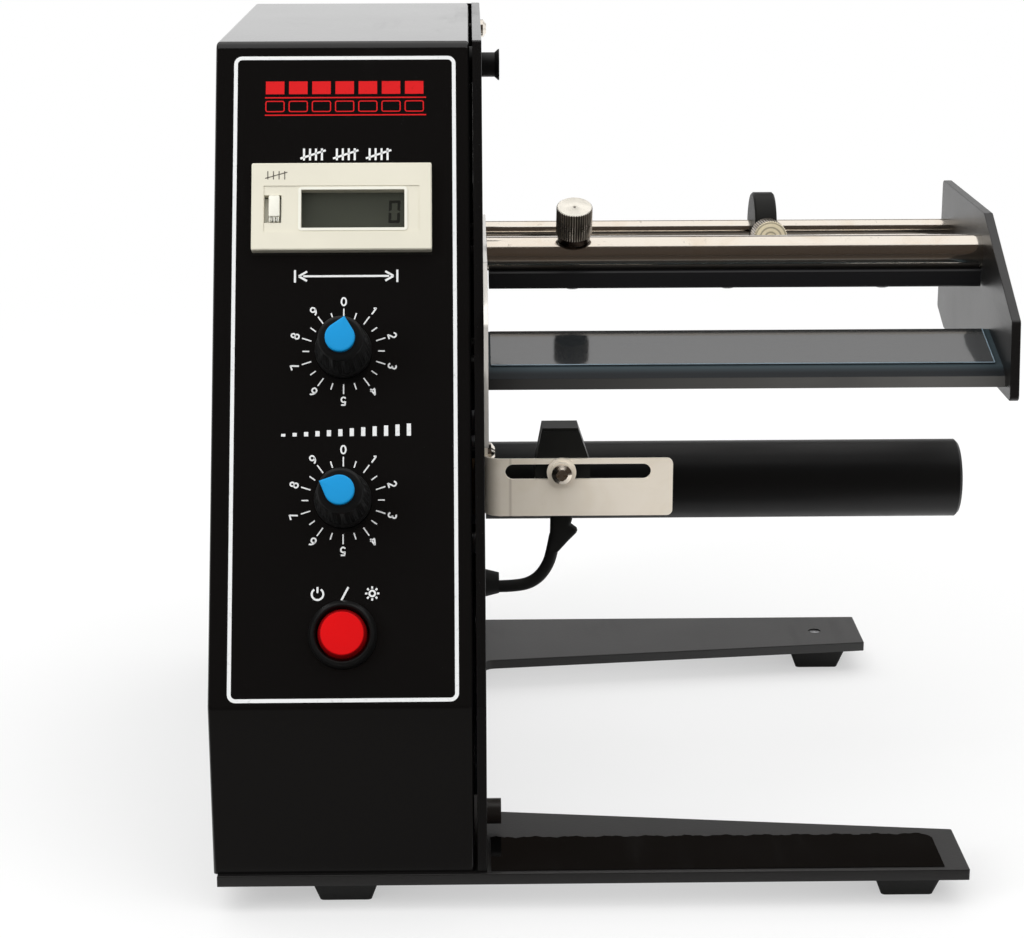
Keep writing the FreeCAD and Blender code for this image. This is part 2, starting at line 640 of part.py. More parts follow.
def group(name, pieces):
    """Like pieces that share one node, each its own solid."""
    bundle = doc.addObject("Part::Compound", name)
    bundle.Links = pieces
    doc.recompute()
    return node(bundle, name)


def side_profile(margin):
    """The console's side outline (depth, height), moved outwards by a margin."""
    nose = f"nose_height + ({margin}) * half_tan"
    top_front = f"setback - ({margin}) * (1 / cos_lean - tan_lean)"
    top = f"cabinet_height + ({margin})"
    return nose, top_front, top


def cabinet_shell():
    """One sheet formed into lower front, leaning panel, top, left side and narrow flanges."""
    body = new_body("cabinet_shell")
    outer = new_sketch(body, "YZ_Plane")
    draw_outline(outer, [("0", "0"), ("0", "nose_height"), ("setback", "cabinet_height"),
                         ("cabinet_depth", "cabinet_height"), ("cabinet_depth", "0")])
    block = pad(body, outer, "cabinet_width")

    def across_bend(edge):
        middle = edge.CenterOfMass
        at_back = near(middle.y, "cabinet_depth")
        return runs_along(edge, X_AXIS) and not at_back and not near(middle.z, "0")

    bent = round_edges(body, block, across_bend, "corner_round")

    def outline_edge(edge):
        middle = edge.CenterOfMass
        on_side = near(middle.x, "0") or near(middle.x, "cabinet_width")
        at_back = near(middle.y, "cabinet_depth")
        return on_side and not at_back and not near(middle.z, "0")

    round_edges(body, bent, outline_edge, "edge_round")
    cavity = new_sketch(body, "YZ_Plane", "sheet")
    nose, top_front, top = side_profile("-sheet")
    draw_outline(cavity, [("sheet", "-overrun"), ("sheet", nose), (top_front, top),
                          ("cabinet_depth - sheet", top), ("cabinet_depth - sheet", "-overrun")])
    pocket(body, cavity, "cabinet_width - 2 * sheet", along_normal=True)
    side = new_sketch(body, "YZ_Plane", "cabinet_width - sheet - overrun")
    nose, top_front, top = side_profile("-(sheet + flange)")
    draw_outline(side, [("sheet + flange", "-overrun"), ("sheet + flange", nose), (top_front, top),
                        ("cabinet_depth - sheet - flange", top),
                        ("cabinet_depth - sheet - flange", "-overrun")])
    pocket(body, side, "sheet + 2 * overrun", along_normal=True)
    back = new_sketch(body, "XZ_Plane", "-(cabinet_depth + overrun)")
    draw_rectangle(back, "sheet + flange", "-overrun", "cabinet_width - sheet - flange",
                   "cabinet_height - sheet - flange")
    pocket(body, back, "sheet + 2 * overrun", along_normal=True)
    lid_holes = new_sketch(body, "XZ_Plane", "-(cabinet_depth + overrun)")
    for across, up in lid_screw_places():
        draw_circle(lid_holes, across, up, "pan_shank_radius + fit_gap")
    pocket(body, lid_holes, "sheet + 2 * overrun", along_normal=True)
    panel = new_sketch(body, "XY_Plane", "nose_height", X_AXIS, "90 - panel_lean")
    half_wide = "(housing_width / 2 + cutout_gap)"
    half_high = "(housing_height / 2 + cutout_gap)"
    draw_rectangle(panel, f"cabinet_width / 2 - {half_wide}", f"counter_centre - {half_high}",
                   f"cabinet_width / 2 + {half_wide}", f"counter_centre + {half_high}")
    draw_circle(panel, "dial_column", "length_dial_place", "bush_radius + fit_gap")
    draw_circle(panel, "dial_column", "speed_dial_place", "bush_radius + fit_gap")
    draw_circle(panel, "dial_column", "power_place", "power_barrel_radius + fit_gap")
    pocket(body, panel, "2 * sheet")
    dome = new_sketch(body, "YZ_Plane", "cabinet_width - sheet - overrun")
    draw_circle(dome, "dome_back", "dome_height", "pan_shank_radius + fit_gap")
    draw_circle(dome, "socket_back", "socket_height", "socket_nut_radius + free_gap")
    pocket(body, dome, "sheet + 2 * overrun", along_normal=True)
    node(seat(body, "0", "0", "0"), "cabinet_shell")


def lid_screw_places():
    """The rear cover's four screws: across and up."""
    left = "lid_screw_inset"
    right = "cabinet_width - lid_screw_inset"
    high = "cabinet_height - lid_screw_inset"
    return [(left, "lid_screw_low"), (right, "lid_screw_low"), (left, high), (right, high)]


def rear_cover():
    """Flat back up to the wall plate, with vent slots and the power inlet's cut-out."""
    body = new_body("rear_cover")
    outline = new_sketch(body, "XZ_Plane")
    draw_rectangle(outline, "0", "0", "wall_back", "cabinet_height")
    plate = pad(body, outline, "sheet")

    def upper_corner(edge):
        middle = edge.CenterOfMass
        at_left = near(middle.x, "0") and near(middle.z, "cabinet_height")
        return runs_along(edge, Y_AXIS) and at_left

    round_edges(body, plate, upper_corner, "edge_round")
    openings = new_sketch(body, "XZ_Plane", "-overrun")
    middle = "cabinet_width / 2"
    gap = "cutout_gap"
    draw_rectangle(openings, f"{middle} - inlet_width / 2 - {gap}",
                   f"inlet_centre - inlet_height / 2 - {gap}",
                   f"{middle} + inlet_width / 2 + {gap}",
                   f"inlet_centre + inlet_height / 2 + {gap}")
    for index in range(int(num("vent_count"))):
        low = f"vent_low + {index} * vent_pitch"
        draw_rectangle(openings, f"{middle} - vent_length / 2", low,
                       f"{middle} + vent_length / 2", f"{low} + vent_height")
    for across, up in lid_screw_places():
        draw_circle(openings, across, up, "pan_shank_radius + fit_gap")
    pocket(body, openings, "sheet + 2 * overrun", along_normal=True)
    node(seat(body, "0", "cabinet_depth + sheet", "0"), "rear_cover")


def pan_screw(name, length, head_height="pan_head_height"):
    """A pan head screw along local z, its head's seat at 0 and its shank below."""
    body = new_body(name)
    rim = f"{head_height} / 2"
    turn_profile(body, [("0", f"-({length})"), ("pan_shank_radius", f"-({length})"),
                        ("pan_shank_radius", "0"), ("pan_head_radius", "0"),
                        ("pan_head_radius", rim), ("pan_shank_radius", head_height),
                        ("0", head_height)])
    recess = new_sketch(body, "XY_Plane", head_height)
    arm = "cross_length / 2"
    half = "cross_width / 2"
    draw_outline(recess, [(arm, f"-{half}"), (arm, half), (half, half), (half, arm),
                          (f"-{half}", arm), (f"-{half}", half), (f"-{arm}", half),
                          (f"-{arm}", f"-{half}"), (f"-{half}", f"-{half}"),
                          (f"-{half}", f"-{arm}"), (half, f"-{arm}"), (half, f"-{half}")])
    pocket(body, recess, "cross_depth")
    return body


def rear_cover_screws():
    """Four pan head screws through the rear cover into the shell's flanges."""
    screws = []
    for index, (across, up) in enumerate(lid_screw_places()):
        screw = pan_screw(f"rear_screw_{index}", "pan_shank_length")
        screws.append(seat(screw, across, "cabinet_depth + sheet", up, X_AXIS, "-90"))
    group("rear_cover_screws", screws)


def power_inlet():
    """Mains inlet in the rear cover: a socket with three pins."""
    body = new_body("power_inlet")
    outline = new_sketch(body, "XZ_Plane")
    draw_rectangle(outline, "-inlet_width / 2", "-inlet_height / 2",
                   "inlet_width / 2", "inlet_height / 2")
    pad(body, outline, "inlet_depth")
    rim = new_sketch(body, "XZ_Plane", "-inlet_flange")
    draw_rectangle(rim, "-inlet_width / 2 - inlet_rim", "-inlet_height / 2 - inlet_rim",
                   "inlet_width / 2 + inlet_rim", "inlet_height / 2 + inlet_rim")
    pad(body, rim, "inlet_flange")
    cavity = new_sketch(body, "XZ_Plane", "-(inlet_flange + overrun)")
    draw_rectangle(cavity, "-inlet_width / 2 + inlet_wall", "-inlet_height / 2 + inlet_wall",
                   "inlet_width / 2 - inlet_wall", "inlet_height / 2 - inlet_wall")
    pocket(body, cavity, "inlet_socket + inlet_flange + overrun", along_normal=True)
    pins = new_sketch(body, "XZ_Plane", "inlet_socket - pin_length")
    draw_circle(pins, "0", "pin_drop", "pin_radius")
    draw_circle(pins, "-pin_spread", "-pin_drop", "pin_radius")
    draw_circle(pins, "pin_spread", "-pin_drop", "pin_radius")
    pad(body, pins, "pin_length + overrun")
    node(seat(body, "cabinet_width / 2", "inlet_face", "inlet_centre"), "power_inlet")


def rod_ends():
    """Where the end screws enter the rods and the peel plate: depth and height."""
    middle = "peel_thickness / 2"
    places = [("guide_rod_back", "guide_rod_height"), ("press_rod_back", "press_rod_height")]
    for along in ("peel_screw_front", "peel_screw_back"):
        places.append((f"peel_top_front + {along} * peel_cos + {middle} * peel_sin",
                       f"peel_top_low + {along} * peel_sin - {middle} * peel_cos"))
    return places


def standoff_places():
    """The four posts that carry the gearbox: depth and height."""
    spread = "standoff_spread"
    return [(f"tube_back {a} {spread}", f"tube_height {b} {spread}") for a in "+-" for b in "+-"]


def wall_plate():
    """Flat plate that follows the console's side outline and carries the label path."""
    body = new_body("wall_plate")
    outline = new_sketch(body, "YZ_Plane")
    nose, top_front, top = side_profile("wall_margin")
    draw_outline(outline, [("-wall_margin", "0"), ("-wall_margin", nose), (top_front, top),
                           ("cabinet_depth + wall_margin", top),
                           ("cabinet_depth + wall_margin", "0")])
    plate = pad(body, outline, "wall_thickness")

    def upper_corner(edge):
        return runs_along(edge, X_AXIS) and not near(edge.CenterOfMass.z, "0")

    cornered = round_edges(body, plate, upper_corner, "wall_round")

    def outer_edge(edge):
        middle = edge.CenterOfMass
        return near(middle.x, "wall_thickness") and not near(middle.z, "0")

    round_edges(body, cornered, outer_edge, "plate_edge")
    holes = new_sketch(body, "YZ_Plane", "-overrun")
    draw_circle(holes, "tube_back", "tube_height", "bearing_radius + fit_gap")
    for back, up in rod_ends():
        draw_circle(holes, back, up, "end_screw_radius + fit_gap")
    draw_circle(holes, "cap_front", "cap_height", "bolt_radius + fit_gap")
    for back, up in wall_screw_places():
        draw_circle(holes, back, up, "pan_shank_radius + fit_gap")
    draw_circle(holes, "lead_middle", "grommet_height", "grommet_neck_radius + fit_gap")
    draw_circle(holes, "socket_back", "socket_height", "socket_neck_radius + fit_gap")
    pocket(body, holes, "wall_thickness + 2 * overrun", along_normal=True)
    node(seat(body, "wall_back", "0", "0"), "wall_plate")


def wall_screw_places():
    """The pan head screws on the wall plate's outer face: depth and height."""
    return [("dome_back", "dome_height"),
            ("bracket_front + tab_screw_back", "tab_screw_height")]


def wall_screws():
    """One screw into the shell's top flange and one through the sensor bracket's tab."""
    flange_place, tab_place = wall_screw_places()
    upper = pan_screw("flange_screw", "wall_thickness + wall_gap + 2 * sheet")
    seat(upper, "wall_face", flange_place[0], flange_place[1], Y_AXIS, RIGHTWARDS)
    lower = pan_screw("tab_screw", "wall_thickness + bracket_sheet + 2 * sheet")
    seat(lower, "wall_face + bracket_sheet", tab_place[0], tab_place[1], Y_AXIS, RIGHTWARDS)
    group("wall_screws", [upper, lower])


def base_plate():
    """Flat plate under the console with two tapering legs."""
    body = new_body("base_plate")
    outline = new_sketch(body, "XY_Plane")
    draw_outline(outline, [("base_inset", "-base_lip"), ("leg_end", "-base_lip"),
                           ("leg_end", "leg_tip - base_lip"), ("wall_face", "leg_root - base_lip"),
                           ("wall_face", "base_back - leg_root"), ("leg_end", "base_back - leg_tip"),
                           ("leg_end", "base_back"), ("base_inset", "base_back")])
    plate = pad(body, outline, "base_thickness")

    def upright(edge):
        return runs_along(edge, Vector(0, 0, 1))

    def inner_corner(edge):
        return upright(edge) and near(edge.CenterOfMass.x, "wall_face")

    def outer_corner(edge):
        return upright(edge) and near(edge.CenterOfMass.x, "leg_end")

    def top_edge(edge):
        return near(edge.CenterOfMass.z, "base_thickness")

    plate = round_edges(body, plate, inner_corner, "root_round")
    plate = round_edges(body, plate, outer_corner, "leg_round")
    round_edges(body, plate, top_edge, "plate_edge")
    holes = new_sketch(body, "XY_Plane", "-overrun")
    for across, back in foot_places():
        draw_circle(holes, across, back, "bolt_radius + fit_gap")
    pocket(body, holes, "base_thickness + 2 * overrun", along_normal=True)
    node(seat(body, "0", "0", "-base_thickness"), "base_plate")


def foot_places():
    """The four feet: across and back."""
    front = "foot_edge - base_lip"
    back = "base_back - foot_edge"
    left = "cabinet_width / 2"
    right = "leg_end - foot_end"
    return [(left, front), (right, front), (left, back), (right, back)]


def feet():
    """Four tapered square rubber feet and their screws."""
    rubber = []
    screws = []
    low = "-(base_thickness + foot_height)"
    for index, (across, back) in enumerate(foot_places()):
        foot = new_body(f"foot_{index}")
        tread = new_sketch(foot, "XY_Plane")
        half = "foot_tread / 2"
        draw_rectangle(tread, f"-{half}", f"-{half}", half, half)
        block = pad(foot, tread, "foot_height")
        bind(block, "TaperAngle", "atan((foot_top - foot_tread) / 2 / foot_height)")
        doc.recompute()

        def slanting(edge):
            return near(edge.CenterOfMass.z, "foot_height / 2")

        round_edges(foot, block, slanting, "foot_round")
        recess = new_sketch(foot, "XY_Plane", "-overrun")
        draw_circle(recess, "0", "0", "foot_recess_radius")
        pocket(foot, recess, "foot_recess_depth + overrun", along_normal=True)
        bore = new_sketch(foot, "XY_Plane", "-overrun")
        draw_circle(bore, "0", "0", "bolt_radius + fit_gap")
        pocket(foot, bore, "foot_height + 2 * overrun", along_normal=True)
        rubber.append(seat(foot, across, back, low))
        end = "foot_height + base_thickness - foot_screw_relief"
        head = "foot_recess_depth - foot_head_height"
        screw = turned(f"foot_screw_{index}", [
            ("0", head), ("foot_head_radius", head), ("foot_head_radius", "foot_recess_depth"),
            ("bolt_radius", "foot_recess_depth"), ("bolt_radius", end), ("0", end)])
        screws.append(seat(screw, across, back, low))
    group("rubber_feet", rubber)
    group("foot_screws", screws)


def base_angle():
    """Angle strip that ties the wall plate to the base plate inside the console."""
    body = new_body("base_angle")
    profile = new_sketch(body, "XZ_Plane")
    draw_outline(profile, [("0", "0"), ("-angle_leg", "0"), ("-angle_leg", "angle_sheet"),
                           ("-angle_sheet", "angle_sheet"), ("-angle_sheet", "angle_leg"),
                           ("0", "angle_leg")])
    length = "cabinet_depth - 2 * angle_end"
    pad(body, profile, length)
    hole = new_sketch(body, "YZ_Plane", "overrun")
    draw_circle(hole, f"cap_front - angle_end - ({length})", "cap_height",
                "bolt_radius + fit_gap")
    pocket(body, hole, "angle_sheet + 2 * overrun")
    node(seat(body, "wall_back", f"angle_end + {length}", "0"), "base_angle")


def wall_cap_screw():
    """Socket cap screw through the wall plate into the angle strip."""
    length = "wall_thickness + angle_sheet"
    body = turned("wall_cap_screw", [
        ("0", f"-({length})"), ("bolt_radius", f"-({length})"), ("bolt_radius", "0"),
        ("cap_head_radius", "0"), ("cap_head_radius", "cap_head_height"),
        ("0", "cap_head_height")])
    socket = new_sketch(body, "XY_Plane", "cap_head_height")
    draw_outline(socket, hexagon("cap_socket_radius"))
    pocket(body, socket, "cap_socket_depth")
    node(seat(body, "wall_face", "cap_front", "cap_height", Y_AXIS, RIGHTWARDS),
         "wall_cap_screw")


def hexagon(radius):
    """Six corners round the origin."""
    half = f"{radius} / 2"
    high = f"{radius} * cos(30 deg)"
    return [(radius, "0"), (half, high), (f"-{half}", high),
            (f"-{radius}", "0"), (f"-{half}", f"-{high}"), (half, f"-{high}")]


def counter():
    """Counting module: bezel, window, display, housing and reset button."""
    bezel = new_body("counter_bezel")
    outline = new_sketch(bezel, "XY_Plane")
    draw_rectangle(outline, "-counter_width / 2", "-counter_height / 2",
                   "counter_width / 2", "counter_height / 2")
    block = pad(bezel, outline, "counter_stand")
    corners = round_edges(bezel, block, lambda edge: runs_along(edge, Vector(0, 0, 1)),
                          "bezel_round")

    def front_edge(edge):
        return near(edge.CenterOfMass.z, "counter_stand")

    round_edges(bezel, corners, front_edge, "bezel_chamfer", "Chamfer", "Size")
    field = new_sketch(bezel, "XY_Plane", "counter_stand")
    draw_rectangle(field, "-tray_width / 2", "-tray_height / 2 - tray_drop",
                   "tray_width / 2", "tray_height / 2 - tray_drop")
    pocket(bezel, field, "tray_depth")
    holes = new_sketch(bezel, "XY_Plane", "counter_stand")
    draw_rectangle(holes, "display_shift - display_width / 2", "-display_height / 2 - tray_drop",
                   "display_shift + display_width / 2", "display_height / 2 - tray_drop")
    draw_rectangle(holes, "-reset_shift - reset_well / 2",
                   "-tray_drop - reset_height / 2 - reset_gap",
                   "-reset_shift + reset_well / 2",
                   "-tray_drop + reset_height / 2 + reset_gap")
    pocket(bezel, holes, "counter_stand + overrun")
    middle = "cabinet_width / 2"
    node(seat_on_panel(bezel, middle, "counter_centre"), "counter_bezel")

    window = new_body("counter_window")
    pane = new_sketch(window, "XY_Plane")
    draw_rectangle(pane, "-display_width / 2 + slide_gap", "-display_height / 2 + slide_gap",
                   "display_width / 2 - slide_gap", "display_height / 2 - slide_gap")
    pad(window, pane, "window_thickness")
    node(seat_on_panel(window, f"{middle} + display_shift", "counter_centre - tray_drop",
                       "window_depth"), "counter_window")

    housing = new_body("counter_housing")
    shell = new_sketch(housing, "XY_Plane", "-housing_depth")
    draw_rectangle(shell, "-housing_width / 2", "-housing_height / 2",
                   "housing_width / 2", "housing_height / 2")
    pad(housing, shell, "housing_depth")
    hollow = new_sketch(housing, "XY_Plane")
    draw_rectangle(hollow, "-housing_width / 2 + housing_wall", "-housing_height / 2 + housing_wall",
                   "housing_width / 2 - housing_wall", "housing_height / 2 - housing_wall")
    pocket(housing, hollow, "housing_depth - housing_wall")
    node(seat_on_panel(housing, middle, "counter_centre"), "counter_housing")

    display = new_body("counter_display")
    board = new_sketch(display, "XY_Plane", "-(display_board + display_thickness + slide_gap)")
    inner_wide = "(housing_width / 2 - housing_wall - slide_gap)"
    inner_high = "(housing_height / 2 - housing_wall - slide_gap)"
    draw_rectangle(board, f"-{inner_wide}", f"-{inner_high}", inner_wide, inner_high)
    pad(display, board, "display_board")
    screen = new_sketch(display, "XY_Plane", "-(display_thickness + slide_gap)")
    draw_rectangle(screen, "display_shift - display_width / 2 - overrun",
                   "-display_height / 2 - tray_drop - overrun",
                   "display_shift + display_width / 2 + overrun",
                   "display_height / 2 - tray_drop + overrun")
    pad(display, screen, "display_thickness")
    switch = new_sketch(display, "XY_Plane", "-(display_thickness + slide_gap)")
    draw_rectangle(switch, "-reset_shift - switch_size / 2", "-tray_drop - switch_size / 2",
                   "-reset_shift + switch_size / 2", "-tray_drop + switch_size / 2")
    pad(display, switch, "switch_height")
    node(seat_on_panel(display, middle, "counter_centre"), "counter_display")

    button = new_body("reset_button")
    rim = new_sketch(button, "XY_Plane", "-(reset_rim + slide_gap)")
    draw_rectangle(rim, "-reset_well / 2 - reset_rim", "-reset_height / 2 - reset_rim",
                   "reset_well / 2 + reset_rim", "reset_height / 2 + reset_rim")
    pad(button, rim, "reset_rim")
    face = new_sketch(button, "XY_Plane", "-slide_gap")
    draw_rectangle(face, "reset_offset - reset_width / 2", "-reset_height / 2",
                   "reset_offset + reset_width / 2", "reset_height / 2")
    pad(button, face, "slide_gap + counter_stand - tray_depth + reset_stand")
    node(seat_on_panel(button, f"{middle} - reset_shift", "counter_centre - tray_drop"),
         "reset_button")


def dial(name, place, pointer):
    """Knob, pointer cap, shaft and potentiometer of one dial."""
    knob = turned(f"{name}_knob", [
        ("shaft_radius + fit_gap", "knob_hollow_height"),
        ("knob_hollow_radius", "knob_hollow_height"), ("knob_hollow_radius", "knob_clearance"),
        ("knob_radius", "knob_clearance"), ("knob_radius", "knob_skirt"),
        ("knob_radius - knob_taper", "knob_skirt + knob_edge"),
        ("knob_top_radius + knob_edge", "knob_height - knob_edge"),
        ("knob_top_radius", "knob_height"), ("shaft_radius + fit_gap", "knob_height")])
    node(seat_on_panel(knob, "dial_column", place), f"{name}_knob")

    cap = new_body(f"{name}_knob_cap")
    disc = new_sketch(cap, "XY_Plane", "knob_height")
    draw_circle(disc, "0", "0", "pointer_radius")
    pad(cap, disc, "pointer_height")
    tip = new_sketch(cap, "XY_Plane", "knob_height", Vector(0, 0, 1), f"-{pointer}")
    tangent = "pointer_radius * sqrt(1 - pointer_radius ^ 2 / pointer_tip ^ 2)"
    draw_outline(tip, [("0", "0"), (tangent, "pointer_radius ^ 2 / pointer_tip"),
                       ("0", "pointer_tip"), (f"-{tangent}", "pointer_radius ^ 2 / pointer_tip")])
    pad(cap, tip, "pointer_height")
    node(seat_on_panel(cap, "dial_column", place), f"{name}_knob_cap")

    low = "-(sheet + pot_depth - pot_floor - overrun)"
    shaft = turned(f"{name}_shaft", [("0", low), ("shaft_radius", low),
                                     ("shaft_radius", "shaft_top"), ("0", "shaft_top")])
    node(seat_on_panel(shaft, "dial_column", place), f"{name}_shaft")

    can_low = "-(sheet + pot_depth)"
    bore = "shaft_radius + shaft_fit"
    pot = turned(f"{name}_potentiometer", [
        ("0", can_low), ("pot_radius", can_low), ("pot_radius", "-sheet"),
        ("bush_radius", "-sheet"), ("bush_radius", "bush_top"), (bore, "bush_top"),
        (bore, f"{can_low} + pot_floor"), ("0", f"{can_low} + pot_floor")])
    for index in (-1, 0, 1):
        tag = new_sketch(pot, "XY_Plane", f"{can_low} + pot_floor")
        left = f"{index} * tag_pitch - tag_width / 2"
        draw_rectangle(tag, left, "-(pot_radius + tag_length)", f"{left} + tag_width",
                       "-(shaft_radius + tag_width)")
        pad(pot, tag, "tag_sheet")
    node(seat_on_panel(pot, "dial_column", place), f"{name}_potentiometer")


def nut(name, radius, bore, low, height):
    """A hexagon nut round local z."""
    body = new_body(name)
    outline = new_sketch(body, "XY_Plane", low)
    draw_outline(outline, hexagon(radius))
    draw_circle(outline, "0", "0", bore)
    pad(body, outline, height)
    return body


def pot_nuts():
    """The nuts that hold the two potentiometers to the panel."""
    nuts = []
    for name, place in (("length", "length_dial_place"), ("speed", "speed_dial_place")):
        piece = nut(f"{name}_nut", "pot_nut_radius", "bush_radius + fit_gap", "0",
                    "pot_nut_height")
        nuts.append(seat_on_panel(piece, "dial_column", place))
    group("pot_nuts", nuts)


def power_button():
    """Lit push button: bezel, sprung lens, barrel and nut."""
    opening = "power_lens_radius + free_gap"
    bevel = "power_bezel_bevel"
    bezel = turned("button_bezel", [
        (opening, "0"), ("power_bezel_radius", "0"),
        ("power_bezel_radius", f"power_bezel_height - {bevel}"),
        (f"power_bezel_radius - {bevel}", "power_bezel_height"),
        (opening, "power_bezel_height")])
    node(seat_on_panel(bezel, "dial_column", "power_place"), "button_bezel")

    edge = "power_lens_top - 2 * power_lens_crown"
    lens = turned("button_lens", [
        ("0", "-power_lens_stem"), ("power_lens_radius", "-power_lens_stem"),
        ("power_lens_radius", edge), ("power_lens_radius - power_lens_crown",
                                      "power_lens_top - power_lens_crown"),
        ("0", "power_lens_top")])
    node(seat_on_panel(lens, "dial_column", "power_place"), "button_lens")

    housing = turned("button_housing", [
        ("0", "-power_barrel_depth"), ("power_barrel_radius", "-power_barrel_depth"),
        ("power_barrel_radius", "0"), (opening, "0"), (opening, "-power_barrel_floor"),
        ("0", "-power_barrel_floor")])
    node(seat_on_panel(housing, "dial_column", "power_place"), "button_housing")

    ring = nut("button_nut", "power_nut_radius", "power_barrel_radius + fit_gap",
               "-(sheet + power_nut_height)", "power_nut_height")
    node(seat_on_panel(ring, "dial_column", "power_place"), "button_nut")


def plate_outline(low, high, chamfered):
    """The side plates' outline (depth, height) between a lower and an upper edge."""
    brow = "plate_front + plate_brow_shift"
    share = f"(({high}) - plate_brow) / (plate_top - plate_brow)"
    points = [("plate_front", low), (brow, "plate_brow"),
              (f"{brow} + {share} * (plate_top_front - ({brow}))", high),
              ("plate_back", high)]
    if chamfered:
        points.append(("plate_back", f"{low} + plate_chamfer_rise"))
        points.append(("plate_back - plate_chamfer", low))
    else:
        points.append(("plate_back", low))
    return points


def side_plate_on_wall():
    """Thin side plate on the wall plate, which the rods stand on."""
    body = new_body("inner_side_plate")
    outline = new_sketch(body, "YZ_Plane")
    draw_outline(outline, plate_outline("side_plate_low", "side_plate_top", False))
    plate = pad(body, outline, "side_plate_sheet")
    round_edges(body, plate, lambda edge: runs_along(edge, X_AXIS), "plate_round")
    holes = new_sketch(body, "YZ_Plane", "-overrun")
    for back, up in rod_ends():
        draw_circle(holes, back, up, "end_screw_radius + fit_gap")
    pocket(body, holes, "side_plate_sheet + 2 * overrun", along_normal=True)
    node(seat(body, "wall_face", "0", "0"), "inner_side_plate")


def sunk_screw(name, bite, gap="0"):
    """A countersunk screw along local z, its top at 0; a gap makes it the hole's cutter."""
    shank = f"end_screw_radius + {gap}"
    head = f"end_screw_head + {gap}"
    low = f"-({bite})"
    return turned(name, [("0", low), (shank, low), (shank, "-end_screw_sink"), (head, "0"),
                         ("0", "0")])


def end_plate():
    """Thick plate at the free end of the label path, with its countersunk screws."""
    body = new_body("end_plate_blank")
    outline = new_sketch(body, "YZ_Plane")
    draw_outline(outline, plate_outline("plate_low", "plate_top", True))
    plate = pad(body, outline, "end_plate_thickness")
    cornered = round_edges(body, plate, lambda edge: runs_along(edge, X_AXIS), "plate_round")

    def face_edge(edge):
        across = edge.CenterOfMass.x
        return near(across, "0") or near(across, "end_plate_thickness")

    round_edges(body, cornered, face_edge, "plate_edge")
    seat(body, "end_face", "0", "0")
    cutters = []
    screws = []
    outer = "end_face + end_plate_thickness"
    for index, (back, up) in enumerate(rod_ends()):
        hole = sunk_screw(f"end_hole_{index}", "end_plate_thickness + overrun", "fit_gap")
        cutters.append(seat(hole, outer, back, up, Y_AXIS, RIGHTWARDS))
        screw = sunk_screw(f"end_screw_{index}", "end_plate_thickness + end_screw_bite")
        screws.append(seat(screw, outer, back, up, Y_AXIS, RIGHTWARDS))
    node(cut_with("end_plate", body, cutters), "end_plate")
    group("end_plate_screws", screws)


def side_plate_screws():
    """Pan head screws from inside the console into the rods and the peel plate."""
    screws = []
    length = "wall_thickness + side_plate_sheet + end_screw_bite"
    for index, (back, up) in enumerate(rod_ends()):
        screw = turned(f"side_screw_{index}", [
            ("0", f"-({length})"), ("end_screw_radius", f"-({length})"),
            ("end_screw_radius", "0"), ("end_screw_head", "0"),
            ("end_screw_head", "end_screw_radius"), ("0", "end_screw_radius")])
        screws.append(seat(screw, "wall_back", back, up, Y_AXIS, LEFTWARDS))
    group("side_plate_screws", screws)


def end_bores(name, places):
    """Cutters for the tapped bores at both ends of a piece between the plates."""
    depth = "end_screw_bite + end_bore_spare"
    cutters = []
    for index, (back, up) in enumerate(places):
        for side, start in (("left", "guide_face"), ("right", f"end_face - ({depth})")):
            bore = cylinder(f"{name}_{side}_{index}", "end_screw_radius + fit_gap", depth)
            cutters.append(seat(bore, start, back, up, Y_AXIS, RIGHTWARDS))
    return cutters


def guide_rod():
    """Thin rod that the label web runs over and the guide disc slides on."""
    rod = cylinder("guide_rod_blank", "guide_rod_radius", "rod_length")
    seat(rod, "guide_face", "guide_rod_back", "guide_rod_height", Y_AXIS, RIGHTWARDS)
    node(cut_with("guide_rod", rod, end_bores("guide_bore", rod_ends()[:1])), "guide_rod")


def thumb_screw(name, stud):
    """A knurled thumb screw along local z, its neck's foot at 0 and its stud below."""
    body = new_body(name)
    top = "thumb_neck + thumb_length"
    turn_profile(body, [
        ("0", f"-({stud})"), ("stud_radius", f"-({stud})"), ("stud_radius", "0"),
        ("thumb_neck_radius", "0"), ("thumb_neck_radius", "thumb_neck"),
        ("thumb_radius", "thumb_neck"), ("thumb_radius", f"{top} - thumb_edge"),
        ("thumb_radius - thumb_edge", top), ("thumb_dimple_radius", top),
        ("0", f"{top} - thumb_dimple_depth")])
    flute = new_sketch(body, "XY_Plane", "thumb_neck - overrun")
    half = "thumb_radius * sin(90 deg / knurl_count)"
    draw_outline(flute, [("thumb_radius - knurl_depth", "0"), ("thumb_radius + overrun", half),
                         ("thumb_radius + overrun", f"-{half}")])
    groove = pocket(body, flute, "thumb_length + 2 * overrun", along_normal=True)
    knurl = body.newObject("PartDesign::PolarPattern", f"{name}_knurl")
    knurl.Originals = [groove]
    knurl.Axis = (flute, ["N_Axis"])
    knurl.Angle = 360
    bind(knurl, "Occurrences", "knurl_count")
    body.Tip = knurl
    doc.recompute()
    return body


